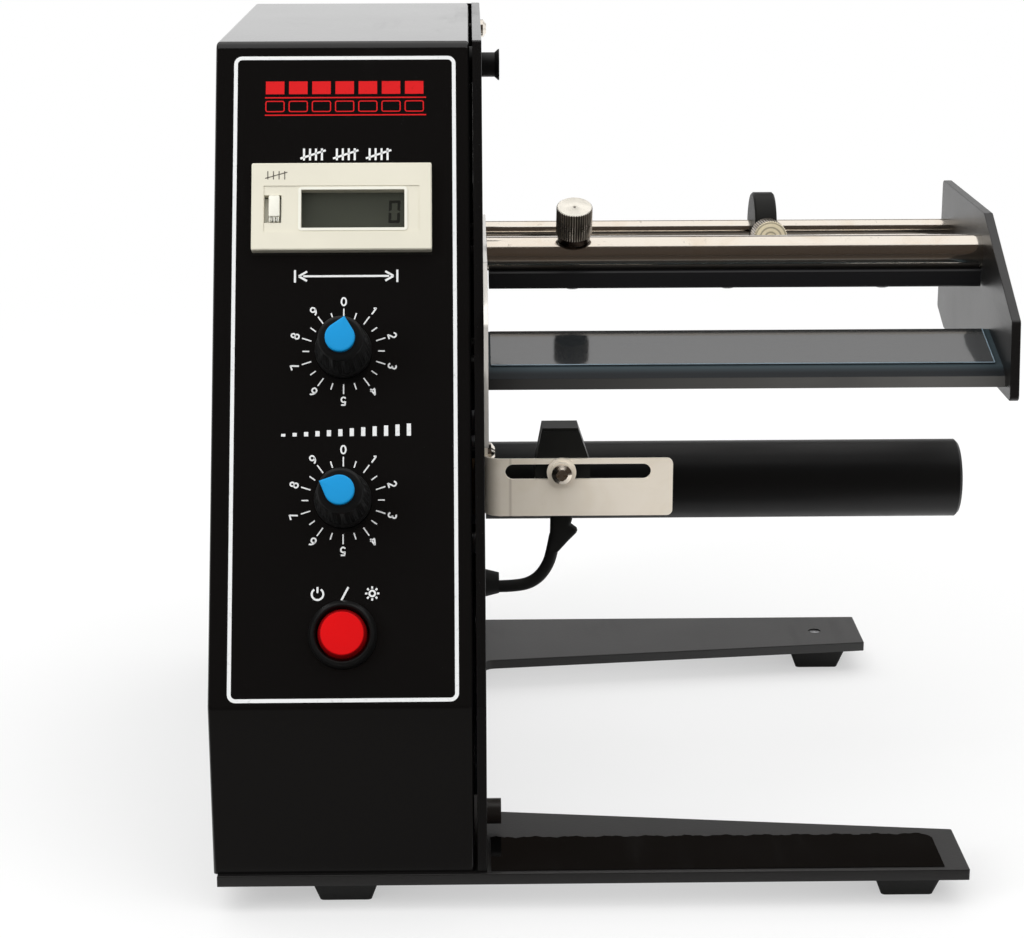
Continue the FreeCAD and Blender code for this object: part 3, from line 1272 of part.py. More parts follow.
def guide_disc():
    """Sliding disc that keeps the label web's edge, and its thumb screw."""
    half = "disc_width / 2"
    bore = "guide_rod_radius + shaft_fit"
    blank = turned("guide_disc_blank", [
        (bore, f"-{half}"), ("disc_radius - disc_bevel", f"-{half}"),
        ("disc_radius", f"disc_bevel - {half}"), ("disc_radius", f"{half} - disc_bevel"),
        ("disc_radius - disc_bevel", half), (bore, half)])
    place = "wall_face + disc_place"
    seat(blank, place, "guide_rod_back", "guide_rod_height", Y_AXIS, RIGHTWARDS)
    hole = cylinder("guide_disc_hole", "stud_radius + shaft_fit", "disc_radius + overrun")
    tilt = "90 - disc_screw_rise"
    seat(hole, place, "guide_rod_back", "guide_rod_height", X_AXIS, tilt)
    node(cut_with("guide_disc", blank, [hole]), "guide_disc")
    screw = thumb_screw("guide_thumb_screw", "disc_radius - guide_rod_radius - free_gap")
    reach = "(disc_radius + slide_gap)"
    seat(screw, place, f"guide_rod_back - {reach} * cos(disc_screw_rise * 1 deg)",
         f"guide_rod_height + {reach} * sin(disc_screw_rise * 1 deg)", X_AXIS, tilt)
    node(screw, "guide_thumb_screw")


def press_rod():
    """Thick rod above the label path, flattened below for the press bar."""
    rod = cylinder("press_rod_blank", "press_rod_radius", "rod_length")
    seat(rod, "guide_face", "press_rod_back", "press_rod_height", Y_AXIS, RIGHTWARDS)
    flat = box("press_rod_flat", "rod_length + 2 * overrun", "2 * press_rod_radius",
               "press_rod_radius")
    seat(flat, "guide_face - overrun", "press_rod_back - press_rod_radius",
         "bar_top - press_rod_radius")
    hole = cylinder("press_rod_hole", "stud_radius + shaft_fit", "press_rod_radius + overrun")
    seat(hole, "wall_face + rod_screw_place", "press_rod_back", "press_rod_height", X_AXIS,
         "rod_screw_lean")
    cutters = [flat, hole] + end_bores("press_bore", rod_ends()[1:2])
    for index in range(3):
        tap = cylinder(f"press_tap_{index}", "pan_shank_radius + fit_gap",
                       "press_screw_bite + overrun + free_gap")
        cutters.append(seat(tap, press_screw_place(index), "press_rod_back",
                            "bar_top - overrun"))
    node(cut_with("press_rod", rod, cutters), "press_rod")
    screw = thumb_screw("rod_thumb_screw", "stud_bite")
    reach = "(press_rod_radius + slide_gap)"
    seat(screw, "wall_face + rod_screw_place",
         f"press_rod_back - {reach} * sin(rod_screw_lean * 1 deg)",
         f"press_rod_height + {reach} * cos(rod_screw_lean * 1 deg)", X_AXIS, "rod_screw_lean")
    node(screw, "rod_thumb_screw")


def press_screw_place(index):
    """One press bar screw's distance across the machine."""
    return f"wall_face + press_screw_first + {index} * press_screw_pitch"


def press_bar():
    """Dark bar under the press rod, with its three screws."""
    body = new_body("press_bar")
    half = "press_bar_width / 2"
    bevel = "press_bar_bevel"
    profile = new_sketch(body, "YZ_Plane")
    draw_outline(profile, [
        (f"{bevel} - {half}", "0"), (f"{half} - {bevel}", "0"), (half, bevel),
        (half, f"press_bar_height - {bevel}"), (f"{half} - {bevel}", "press_bar_height"),
        (f"{bevel} - {half}", "press_bar_height"), (f"-{half}", f"press_bar_height - {bevel}"),
        (f"-{half}", bevel)])
    pad(body, profile, "rod_length - 2 * press_bar_gap")
    holes = new_sketch(body, "XY_Plane", "press_bar_height + overrun")
    start = "guide_face + press_bar_gap"
    for index in range(3):
        draw_circle(holes, f"{press_screw_place(index)} - ({start})", "0",
                    "pan_shank_radius + fit_gap")
    pocket(body, holes, "press_bar_height + 2 * overrun")
    node(seat(body, start, "press_rod_back", "bar_low"), "press_bar")
    screws = []
    for index in range(3):
        screw = pan_screw(f"press_screw_{index}", "press_bar_height + press_screw_bite",
                          "press_head_height")
        screws.append(seat(screw, press_screw_place(index), "press_rod_back", "bar_low",
                           X_AXIS, "180"))
    group("press_bar_screws", screws)


def peel_plate():
    """Sloping plate with a bevelled front edge, over which the labels peel off."""
    body = new_body("peel_plate_blank")
    profile = new_sketch(body, "YZ_Plane")
    tangent = "tan(peel_slope * 1 deg)"
    under_front = f"peel_under_back - (peel_under_high - peel_low) / {tangent}"
    draw_outline(profile, [
        ("peel_front", "peel_low"),
        ("peel_front + peel_face_lean", "peel_low + peel_face_height"),
        ("peel_top_front", "peel_top_low"), ("peel_top_back", "peel_top_high"),
        ("peel_under_back", "peel_under_high"), (under_front, "peel_low")])
    pad(body, profile, "rod_length")
    seat(body, "guide_face", "0", "0")
    node(cut_with("peel_plate", body, end_bores("peel_bore", rod_ends()[2:])), "peel_plate")

    film = box("peel_film", "rod_length - film_end - film_inset",
               "peel_length - 2 * film_inset", "film_thickness")
    seat(film, "guide_face + film_inset", "peel_top_front + film_inset * peel_cos",
         "peel_top_low + film_inset * peel_sin", X_AXIS, "peel_slope")
    node(film, "peel_film")


def take_up():
    """Driven tube that winds up the bare backing, its plugs, shaft, bearing and collar."""
    length = "(tube_stop - tube_start)"
    inner = "tube_radius - tube_wall"
    tube = turned("take_up_tube", [
        (inner, "0"), ("tube_radius", "0"), ("tube_radius", f"{length} - tube_bevel"),
        ("tube_radius - tube_bevel", length), (inner, length)])
    node(seat(tube, "tube_start", "tube_back", "tube_height", Y_AXIS, RIGHTWARDS), "take_up_tube")
    plugs = []
    for name, place in (("near", "tube_start + plug_depth"),
                        ("far", "tube_stop - plug_depth - plug_length")):
        bore = "drive_radius + fit_gap"
        rim = f"{inner} - fit_gap"
        plug = turned(f"{name}_plug", [(bore, "0"), (rim, "0"), (rim, "plug_length"),
                                       (bore, "plug_length")])
        plugs.append(seat(plug, place, "tube_back", "tube_height", Y_AXIS, RIGHTWARDS))
    group("tube_plugs", plugs)
    shaft_start = "(gearbox_face - gearbox_bore)"
    shaft = cylinder("take_up_shaft", "drive_radius", f"tube_stop - plug_depth - {shaft_start}")
    node(seat(shaft, shaft_start, "tube_back", "tube_height", Y_AXIS, RIGHTWARDS),
         "take_up_shaft")
    running = "drive_radius + shaft_fit"
    tail = "bearing_tail"
    full = f"{tail} + wall_thickness"
    bearing = turned("wall_bearing", [
        (running, "0"), ("bearing_radius", "0"), ("bearing_radius", f"{tail} - bearing_flange_thickness"),
        ("bearing_flange", f"{tail} - bearing_flange_thickness"), ("bearing_flange", tail),
        ("bearing_radius", tail), ("bearing_radius", full), (running, full)])
    node(seat(bearing, f"wall_back - {tail}", "tube_back", "tube_height", Y_AXIS, RIGHTWARDS),
         "wall_bearing")
    collar = turned("shaft_collar", [
        ("drive_radius + fit_gap", "0"), ("collar_radius", "0"),
        ("collar_radius", "collar_length"), ("drive_radius + fit_gap", "collar_length")])
    node(seat(collar, f"wall_back - {tail} - collar_gap - collar_length", "tube_back",
              "tube_height", Y_AXIS, RIGHTWARDS), "shaft_collar")


def drive():
    """Gearbox and motor on four posts behind the wall plate."""
    posts = []
    for index, (back, up) in enumerate(standoff_places()):
        post = cylinder(f"standoff_{index}", "standoff_radius", "standoff_length")
        posts.append(seat(post, "gearbox_face", back, up, Y_AXIS, RIGHTWARDS))
    group("motor_standoffs", posts)
    bore = "drive_radius + shaft_fit"
    floor = "gearbox_depth - gearbox_bore - overrun"
    gearbox = turned("gearbox", [
        ("0", "0"), ("gearbox_radius", "0"), ("gearbox_radius", "gearbox_depth"),
        (bore, "gearbox_depth"), (bore, floor), ("0", floor)])
    node(seat(gearbox, "gearbox_face - gearbox_depth", "tube_back", "tube_height", Y_AXIS,
              RIGHTWARDS), "gearbox")
    motor = turned("motor", [
        ("0", "-motor_boss"), ("motor_boss_radius", "-motor_boss"), ("motor_boss_radius", "0"),
        ("motor_radius", "0"), ("motor_radius", "motor_depth"), ("0", "motor_depth")])
    node(seat(motor, "gearbox_face - gearbox_depth - motor_depth", "tube_back", "tube_height",
              Y_AXIS, RIGHTWARDS), "motor")


def circuit_board():
    """Control board on posts against the console's left side, with its larger components."""
    pieces = []
    board = box("board_sheet", "board_sheet", "board_length", "board_height")
    board_left = "sheet + post_length"
    face = f"{board_left} + board_sheet"
    pieces.append(seat(board, board_left, "board_back", "board_low"))
    backs = ("board_back + post_inset", "board_back + board_length - post_inset")
    heights = ("board_low + post_inset", "board_low + board_height - post_inset")
    for index, (back, up) in enumerate((back, up) for back in backs for up in heights):
        post = cylinder(f"board_post_{index}", "post_radius", "post_length")
        pieces.append(seat(post, "sheet", back, up, Y_AXIS, RIGHTWARDS))
    for index in range(2):
        can = cylinder(f"capacitor_{index}", "capacitor_radius", "capacitor_length")
        back = f"board_back + board_length / 2 + {index} * (2 * capacitor_radius + overrun)"
        pieces.append(seat(can, face, back, "board_low + board_height / 2", Y_AXIS, RIGHTWARDS))
    relay = box("relay", "relay_width", "relay_width", "relay_height")
    pieces.append(seat(relay, face, "board_back + post_inset + relay_width / 2",
                       "board_low + board_height - relay_height - 2 * post_inset"))
    strip = box("connector", "connector_width", "connector_width", "connector_height")
    pieces.append(seat(strip, face, "board_back + post_inset", "board_low + 2 * post_inset"))
    node(joined("circuit_board", pieces), "circuit_board")


def transformer():
    """Mains transformer on the base plate: foot, core and coil."""
    left = "sheet + transformer_left"
    middle = f"{left} + saddle_width / 2"
    foot = box("saddle", "saddle_width", "core_depth", "saddle_sheet")
    seat(foot, left, "transformer_back - core_depth / 2", "0")
    core = box("core", "core_width", "core_depth", "core_height")
    seat(core, f"{middle} - core_width / 2", "transformer_back - core_depth / 2", "0")
    coil = box("coil", "coil_width", "coil_depth", "coil_height")
    seat(coil, f"{middle} - coil_width / 2", "transformer_back - coil_depth / 2",
         "(core_height - coil_height) / 2")
    node(joined("transformer", [foot, core, coil]), "transformer")


def sensor_bracket():
    """Slotted plated bracket bent round onto a tab on the wall plate."""
    body = new_body("sensor_bracket")
    strip = new_sketch(body, "XY_Plane")
    draw_outline(strip, [("0", "tab_depth"), ("0", "0"), ("bracket_length", "0"),
                         ("bracket_length", "bracket_sheet"), ("bracket_sheet", "bracket_sheet"),
                         ("bracket_sheet", "tab_depth")])
    bent = pad(body, strip, "bracket_height")

    def outer_bend(edge):
        middle = edge.CenterOfMass
        return runs_along(edge, Vector(0, 0, 1)) and near(middle.x, "0") and near(middle.y, "0")

    def inner_bend(edge):
        middle = edge.CenterOfMass
        upright = runs_along(edge, Vector(0, 0, 1))
        return upright and near(middle.x, "bracket_sheet") and near(middle.y, "bracket_sheet")

    def far_corner(edge):
        return runs_along(edge, Y_AXIS) and near(edge.CenterOfMass.x, "bracket_length")

    bent = round_edges(body, bent, outer_bend, "bracket_bend")
    bent = round_edges(body, bent, inner_bend, "bracket_bend - bracket_sheet")
    round_edges(body, bent, far_corner, "bracket_round")
    tab = new_sketch(body, "XY_Plane", "bracket_height - overrun")
    draw_rectangle(tab, "0", "tab_start", "bracket_sheet", "tab_depth")
    pad(body, tab, "tab_rise + overrun")
    half = "slot_height / 2"
    level = "bracket_height - slot_drop"
    slot = new_sketch(body, "XZ_Plane", "overrun")
    draw_rectangle(slot, f"slot_start + {half}", f"{level} - {half}", f"slot_end - {half}",
                   f"{level} + {half}")
    pocket(body, slot, "bracket_sheet + 2 * overrun")
    ends = new_sketch(body, "XZ_Plane", "overrun")
    draw_circle(ends, f"slot_start + {half}", level, half)
    draw_circle(ends, f"slot_end - {half}", level, half)
    pocket(body, ends, "bracket_sheet + 2 * overrun")
    hole = new_sketch(body, "YZ_Plane", "-overrun")
    draw_circle(hole, "tab_screw_back", "tab_screw_height - bracket_low",
                "pan_shank_radius + fit_gap")
    pocket(body, hole, "bracket_sheet + 2 * overrun", along_normal=True)
    node(seat(body, "wall_face", "bracket_front", "bracket_low"), "sensor_bracket")


def sensor():
    """Label sensor behind the bracket's slot, with its screw, washer and boot."""
    head = new_body("sensor_head")
    outline = new_sketch(head, "XZ_Plane")
    draw_outline(outline, [
        ("-sensor_left", "-sensor_low"), ("sensor_right", "-sensor_low"),
        ("sensor_right", "sensor_shoulder"), ("sensor_top_right", "sensor_top"),
        ("-sensor_top_left", "sensor_top"), ("-sensor_left", "sensor_shoulder")])
    pad(head, outline, "sensor_depth")
    bore = new_sketch(head, "XZ_Plane", "sensor_depth + overrun")
    draw_circle(bore, "0", "0", "pan_shank_radius + fit_gap")
    pocket(head, bore, "sensor_screw_length + overrun")
    band = new_sketch(head, "XZ_Plane", "sensor_depth + overrun")
    margin = "sensor_window_drop"
    draw_rectangle(band, f"{margin} - sensor_top_left",
                   f"sensor_top - {margin} - sensor_window", f"sensor_top_right - {margin}",
                   f"sensor_top - {margin}")
    pocket(head, band, "sensor_window_depth + overrun")
    place = "wall_face + sensor_place"
    node(seat(head, place, "sensor_front + sensor_depth", "slot_centre"), "sensor_head")

    front = "bracket_front - slide_gap"
    bore = "pan_shank_radius + fit_gap"
    washers = []
    for name, radius, low, high in (
            ("flat_washer", "washer_radius", "0", "washer_thickness"),
            ("spring_washer", "spring_radius", "washer_thickness", SCREW_SEAT)):
        washer = turned(name, [(bore, low), (radius, low), (radius, high), (bore, high)])
        washers.append(seat(washer, place, front, "slot_centre", X_AXIS, "90"))
    group("sensor_washers", washers)
    screw = pan_screw("sensor_screw", "sensor_screw_length")
    node(seat(screw, place, f"{front} - ({SCREW_SEAT})", "slot_centre", X_AXIS, "90"),
         "sensor_screw")

    boot = new_body("sensor_boot")
    shape = new_sketch(boot, "XZ_Plane")
    draw_outline(shape, [(str(across), str(up)) for across, up in BOOT_OUTLINE])
    pad(boot, shape, "boot_thickness")
    node(seat(boot, "wall_face", "lead_middle + boot_thickness / 2", "0"), "sensor_boot")


def cable_path(points):
    """One wire of straight runs and tangent arcs through a route's corners."""
    edges = []
    start = points[0]
    for before, corner, after in zip(points, points[1:], points[2:]):
        inward = (corner - before).normalize()
        outward = (after - corner).normalize()
        half_turn = inward.getAngle(outward) / 2
        shorter = min((corner - before).Length, (after - corner).Length)
        reach = CABLE_BEND_SHARE * shorter
        print(f"cable bend radius {reach / num(f'tan({half_turn} * 1 rad)'):.1f}")
        first = corner - inward * reach
        last = corner + outward * reach
        bulge = (outward - inward).normalize()
        radius = reach / num(f"tan({half_turn} * 1 rad)")
        depth = radius / num(f"cos({half_turn} * 1 rad)") - radius
        edges.append(Part.LineSegment(start, first).toShape())
        edges.append(Part.Arc(first, corner + bulge * depth, last).toShape())
        start = last
    edges.append(Part.LineSegment(start, points[-1]).toShape())
    return Part.Wire(edges)


def sensor_cable():
    """The sensor's cable from its boot to the grommet, and the grommet."""
    left = num("shift_x + wall_face")
    back = num("shift_y + lead_middle")
    low = num("shift_z")
    path = cable_path([Vector(left + x, back, low + z) for x, z in CABLE_ROUTE])
    begin = path.Edges[0]
    ring = Part.Wire(Part.Circle(begin.Vertexes[0].Point, begin.tangentAt(0),
                                 num("cable_radius")).toShape())
    tube = doc.addObject("Part::Feature", "sensor_cable")
    tube.Shape = path.makePipeShell([ring], True, False)
    section = Part.Face(ring).Area
    print(f"cable {path.Length:.1f} long, volume share {tube.Shape.Volume / section / path.Length:.3f}")
    node(tube, "sensor_cable")

    outer = "grommet_length"
    through = "wall_thickness"
    grommet = turned("cable_grommet", [
        ("0", f"-({through} + grommet_inner)"), ("grommet_radius", f"-({through} + grommet_inner)"),
        ("grommet_radius", f"-{through}"), ("grommet_neck_radius", f"-{through}"),
        ("grommet_neck_radius", "0"), ("grommet_radius", "0"), ("grommet_tip_radius", outer),
        ("0", outer)])
    node(seat(grommet, "wall_face", "lead_middle", "grommet_height", Y_AXIS, RIGHTWARDS),
         "cable_grommet")


def spindle_socket():
    """Socket high on the wall plate for the supply roll's spindle."""
    outer = "socket_length"
    lip = f"{outer} - socket_lip"
    floor = f"{outer} - socket_bore_depth"
    inner = "-wall_thickness"
    socket = turned("spindle_socket", [
        ("0", f"{inner} - socket_nut"), ("socket_nut_radius", f"{inner} - socket_nut"),
        ("socket_nut_radius", inner), ("socket_neck_radius", inner),
        ("socket_neck_radius", "0"), ("socket_radius", "0"), ("socket_radius", lip),
        ("socket_lip_radius", f"{outer} - socket_edge"), ("socket_lip_radius", outer),
        ("socket_bore", outer),
        ("socket_bore", floor), ("0", floor)])
    node(seat(socket, "wall_face", "socket_back", "socket_height", Y_AXIS, RIGHTWARDS),
         "spindle_socket")


def build():
    """Make every sub-part."""
    fill_sheet()
    cabinet_shell()
    rear_cover()
    rear_cover_screws()
    power_inlet()
    wall_plate()
    wall_screws()
    base_plate()
    feet()
    base_angle()
    wall_cap_screw()
    counter()
    dial("length", "length_dial_place", "length_pointer")
    dial("speed", "speed_dial_place", "speed_pointer")
    pot_nuts()
    power_button()
    side_plate_on_wall()
    end_plate()
    side_plate_screws()
    guide_rod()
    guide_disc()
    press_rod()
    press_bar()
    peel_plate()
    take_up()
    drive()
    circuit_board()
    transformer()
    sensor_bracket()
    sensor()
    sensor_cable()
    spindle_socket()
    doc.recompute()


def export():
    """Check every object and write each sub-part to its own file."""
    for thing in doc.Objects:
        if "Invalid" in thing.State or "Error" in thing.State:
            raise ValueError(f"{thing.Label} failed: {thing.State}")
    for thing in nodes:
        if thing.Shape.isNull() or not thing.Shape.isValid():
            raise ValueError(f"{thing.Label} has no valid shape")
    os.makedirs("parts", exist_ok=True)
    for thing in nodes:
        thing.Shape.exportStep(f"parts/{thing.Label}.step")
        print(thing.Label, len(thing.Shape.Solids), round(thing.Shape.Volume, 1))
    print(len(nodes), "sub-parts")


build()
export()
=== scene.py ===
import json
import math
import bmesh
import bpy
import numpy as np
from mathutils import Matrix, Vector

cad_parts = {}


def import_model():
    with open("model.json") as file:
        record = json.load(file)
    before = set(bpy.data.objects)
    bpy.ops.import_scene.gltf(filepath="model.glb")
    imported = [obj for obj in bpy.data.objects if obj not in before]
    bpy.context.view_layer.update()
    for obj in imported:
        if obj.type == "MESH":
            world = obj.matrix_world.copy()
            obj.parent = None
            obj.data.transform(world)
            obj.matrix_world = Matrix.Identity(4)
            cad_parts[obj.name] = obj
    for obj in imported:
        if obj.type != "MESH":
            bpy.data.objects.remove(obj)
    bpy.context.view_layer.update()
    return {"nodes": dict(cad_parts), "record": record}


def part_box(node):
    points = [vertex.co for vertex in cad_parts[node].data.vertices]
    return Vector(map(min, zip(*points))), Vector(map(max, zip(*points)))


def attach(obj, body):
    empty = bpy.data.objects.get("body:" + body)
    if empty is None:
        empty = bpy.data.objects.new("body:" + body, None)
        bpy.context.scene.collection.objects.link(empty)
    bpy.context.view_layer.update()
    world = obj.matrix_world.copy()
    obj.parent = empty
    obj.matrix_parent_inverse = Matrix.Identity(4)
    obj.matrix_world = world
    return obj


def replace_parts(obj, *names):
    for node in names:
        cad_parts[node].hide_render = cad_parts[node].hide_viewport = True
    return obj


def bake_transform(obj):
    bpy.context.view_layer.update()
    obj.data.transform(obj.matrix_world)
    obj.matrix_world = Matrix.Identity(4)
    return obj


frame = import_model()

# Sizes in millimetres, from the console's left front bottom corner, as the solids are laid out
MM = 0.001
SHIFT = np.array([-107.0, -102.0, 10.5])
LEAN = math.radians(26.0)
NOSE_HEIGHT = 46.5
WALL_FACE = 71.85
# The panel's pieces: places across and up it. A dial's last number is its pointer's turn at rest
DIAL_COLUMN = 34.8
DIALS = (("length", 94.0, 12.0), ("speed", 54.0, 294.0))
POWER_PLACE = 18.6
COUNTER = (34.25, 133.0)
COUNTER_DROP = 0.7
RESET_COLUMN = COUNTER[0] - 17.9
MODULE_FACE = 3.0
PRINT_FOOT, PRINT_TOP = 0.01, 0.05
MARK_WIDTH = 0.55
KNOB_TOP = 15.4
KNOB_FLUTES, FLUTE_DEPTH = 36, 0.16
LENS_EDGE, LENS_SIDE = 5.35, 5.75
# Thumb screws: a point on the rod's axis, the screw's start off it, and its rise in degrees
THUMB_RADIUS = 5.0
THUMB_LENGTH = 8.6
THUMB_NECK = 2.0
THUMB_TOP = THUMB_NECK + THUMB_LENGTH
KNURLS, KNURL_STEPS, KNURL_DEPTH = 44, 16, 0.30
ROD_THUMB = (WALL_FACE + 25.45, 84.0, 148.8, 5.1, 66.5)
DISC_THUMB = (WALL_FACE + 83.75, 130.0, 147.3, 11.3, 3.5)
# The sensor's lead, its bracket's bend, and the peel plate's front face and bevel
LEAD_BACK, LEAD_RADIUS = 56.6, 1.7
BRACKET_BEND = WALL_FACE + 7.1
PEEL_FACE_BACK, PEEL_FACE_TOP = 44.6, 122.3
PEEL_TOP_FRONT = np.array([48.0, 124.6])
PEEL_SLOPE = math.radians(16.0)
# The gloss sheet on the front leg: its ends, its depth, its corner and its two heights
SHEET_LEFT, SHEET_RIGHT, SHEET_FRONT, SHEET_REAR = 72.9, 192.6, 0.4, 21.4
SHEET_CORNER = 3.0
SHEET_LOW, SHEET_TOP = 0.01, 0.14
# The camera as fitted to the photograph
PHOTO_WIDTH, FOCAL_PIXELS, FILM_WIDTH = 1024.0, 2418.0, 36.0
CAMERA_YAW, CAMERA_PITCH, CAMERA_ROLL = 0.982, 15.596, -0.115
CAMERA_PLACE = (-0.03845, -0.68593, 0.28336)


def to_row(points):
    """Laid-out millimetres to metres in the row frame."""
    return (np.asarray(points, float) + SHIFT) * MM


def on_panel(u, v, n):
    """Points on the leaning panel: u across, v up the panel, n out of it, in millimetres."""
    u, v, n = np.broadcast_arrays(u, v, n)
    y = v * math.sin(LEAN) - n * math.cos(LEAN)
    z = NOSE_HEIGHT + v * math.cos(LEAN) + n * math.sin(LEAN)
    return to_row(np.stack([u, y, z], axis=-1))


# Meshes

def add_piece(name, points, faces, paint, body, smooth_angle=35.0):
    """A mesh from arrays of points and faces, smooth but for its sharp edges."""
    mesh = bpy.data.meshes.new(name)
    mesh.from_pydata(np.reshape(points, (-1, 3)).tolist(), [], faces)
    mesh.update()
    mesh.shade_smooth()
    mesh.set_sharp_from_angle(angle=math.radians(smooth_angle))
    mesh.materials.append(paint)
    piece = bpy.data.objects.new(name, mesh)
    bpy.context.scene.collection.objects.link(piece)
    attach(piece, body)
    return piece


def ring_faces(rows, around, first=0):
    """Quads between rings of points, each ring closed on itself."""
    row, turn = np.meshgrid(np.arange(rows - 1), np.arange(around), indexing="ij")
    after = (turn + 1) % around
    low = first + row * around
    corners = [low + turn, low + after, low + around + after, low + around + turn]
    return np.stack(corners, axis=-1).reshape(-1, 4).tolist()


def tube_faces(rows, around, first=0, ends=True):
    """Rings of points joined by quads, with a flat face at each end."""
    faces = ring_faces(rows, around, first)
    if ends:
        faces.append(list(range(first + around - 1, first - 1, -1)))
        top = first + (rows - 1) * around
        faces.append(list(range(top, top + around)))
    return faces


def rounded_profile(corners, radius, steps=5):
    """Round each inner corner of a (radius, height) line by a curve between its two runs: a
    quadratic blend from a point before the corner, by the corner, to a point after it."""
    corners = np.asarray(corners, float)
    before, here, after = corners[:-2], corners[1:-1], corners[2:]
    back, ahead = before - here, after - here
    length_back = np.linalg.norm(back, axis=1, keepdims=True)
    length_ahead = np.linalg.norm(ahead, axis=1, keepdims=True)
    reach = np.minimum(radius, 0.45 * np.minimum(length_back, length_ahead))
    start = here + back / length_back * reach
    end = here + ahead / length_ahead * reach
    share = np.linspace(0, 1, steps)[None, :, None]
    curve = (1 - share) ** 2 * start[:, None] + 2 * share * (1 - share) * here[:, None]
    curve = curve + share ** 2 * end[:, None]
    return np.concatenate([corners[:1], curve.reshape(-1, 2), corners[-1:]])


def turned_on_panel(profile, u, v, around=96, flutes=0, flute_depth=0.0, fluted=(0.0, 0.0)):
    """Points of a turned piece on the panel. Its radius follows the profile, less a cosine flute
    between two heights."""
    profile = np.asarray(profile, float)
    turn = np.linspace(0, 2 * math.pi, around, endpoint=False)[None, :]
    radius, height = profile[:, :1], profile[:, 1:]
    inside = (height > fluted[0]) & (height < fluted[1])
    cut = flute_depth * (0.5 - 0.5 * np.cos(flutes * turn)) * inside
    reach = radius - cut
    return on_panel(u + reach * np.sin(turn), v + reach * np.cos(turn), height + 0 * turn)


def flat_marks(strips, low, high):
    """Thin raised prints on the panel: each strip is two lines of points, closed into a slab."""
    points, faces, first = [], [], 0
    for left, right in strips:
        left, right = np.asarray(left, float), np.asarray(right, float)
        rows = len(left)
        section = np.stack([left, right, right, left], axis=1)
        heights = np.array([low, low, high, high])[None, :] + np.zeros((rows, 4))
        points.append(on_panel(section[..., 0], section[..., 1], heights).reshape(-1, 3))
        closed = np.allclose(left[0], left[-1])
        faces += tube_faces(rows, 4, first, ends=not closed)
        first += rows * 4
    return np.concatenate(points), faces


def outward(piece):
    """Turn a closed mesh's faces outwards."""
    made = bmesh.new()
    made.from_mesh(piece.data)
    bmesh.ops.remove_doubles(made, verts=made.verts, dist=1e-7)
    bmesh.ops.recalc_face_normals(made, faces=made.faces)
    made.to_mesh(piece.data)
    made.free()
    return piece


def mark_reach(piece, base, axis):
    """Keep each point's distance from an axis, and its height along it, on the mesh in
    millimetres."""
    mesh = piece.data
    points = np.zeros(len(mesh.vertices) * 3)
    mesh.vertices.foreach_get("co", points)
    off = points.reshape(-1, 3) / MM - np.asarray(base, float)
    axis = np.asarray(axis, float) / np.linalg.norm(axis)
    height = off @ axis
    reach = np.linalg.norm(off - height[:, None] * axis, axis=1)
    for name, values in (("reach", reach), ("height", height)):
        kept = mesh.attributes.new(name, "FLOAT", "POINT")
        kept.data.foreach_set("value", values.astype(np.float32))
    return piece


def mark_panel_reach(piece, u, v):
    """The same for a piece turned on the panel."""
    base = on_panel(u, v, 0.0) / MM
    return mark_reach(piece, base, on_panel(u, v, 1.0) / MM - base)


# Strokes for the small prints

def arc(x, y, across, up, start, stop, steps=18):
    """Points on an ellipse round (x, y), by the cosine and sine of the angle in degrees."""
    turn = np.radians(np.linspace(start, stop, steps))
    return np.stack([x + across * np.cos(turn), y + up * np.sin(turn)], axis=1)


def line(*points):
    """A broken line's points."""
    return np.asarray(points, float)


def widen(points, width):
    """A line's two edges, half a width to each side along the normal. A closed line's ends share
    one normal."""
    points = np.asarray(points, float)
    along = np.gradient(points, axis=0)
    if np.allclose(points[0], points[-1]):
        along[0] = along[-1] = points[1] - points[-2]
    along /= np.linalg.norm(along, axis=1, keepdims=True)
    side = np.stack([-along[:, 1], along[:, 0]], axis=1) * width / 2
    return points + side, points - side


def box_line(x, y, wide, high, bend=0.5, steps=7):
    """A closed rounded rectangle round (x, y): four quarter circles joined by straight runs."""
    left, right = x - wide / 2 + bend, x + wide / 2 - bend
    low, top = y - high / 2 + bend, y + high / 2 - bend
    centres = ((right, top), (left, top), (left, low), (right, low))
    points = np.concatenate([arc(*centre, bend, bend, 90 * turn, 90 * turn + 90, steps)
                             for turn, centre in enumerate(centres)])
    return np.concatenate([points, points[:1]])


def digit_strokes():
    """The ten digits' centre lines, 2.08 high round the origin."""
    six = [arc(0, -0.42, 0.6, 0.62, 0, 360), arc(0.55, -0.42, 1.15, 1.46, 180, 97)]
    return [
        [arc(0, 0, 0.62, 1.04, 0, 360, 28)],
        [line((0.12, -1.04), (0.12, 1.04)), line((0.2, 1.02), (-0.42, 0.6))],
        [arc(0, 0.44, 0.58, 0.6, 165, -35), line((0.5, 0.14), (-0.58, -1.0)),
         line((-0.66, -1.04), (0.66, -1.04))],
        [arc(-0.05, 0.52, 0.52, 0.52, 150, -90), arc(-0.05, -0.48, 0.6, 0.56, 90, -150)],
        [line((0.28, -1.04), (0.28, 1.04)), line((0.28, 1.04), (-0.6, -0.4)),
         line((-0.72, -0.46), (0.7, -0.46))],
        [line((0.6, 1.04), (-0.5, 1.04)), line((-0.36, 1.1), (-0.5, 0.02)),
         arc(-0.02, -0.38, 0.6, 0.66, 140, -150)],
        six,
        [line((-0.66, 1.04), (0.7, 1.04)), line((0.6, 1.04), (-0.14, -1.04))],
        [arc(0, 0.52, 0.5, 0.52, 0, 360), arc(0, -0.48, 0.6, 0.56, 0, 360)],
        [-stroke for stroke in six],
    ]


# Shaders

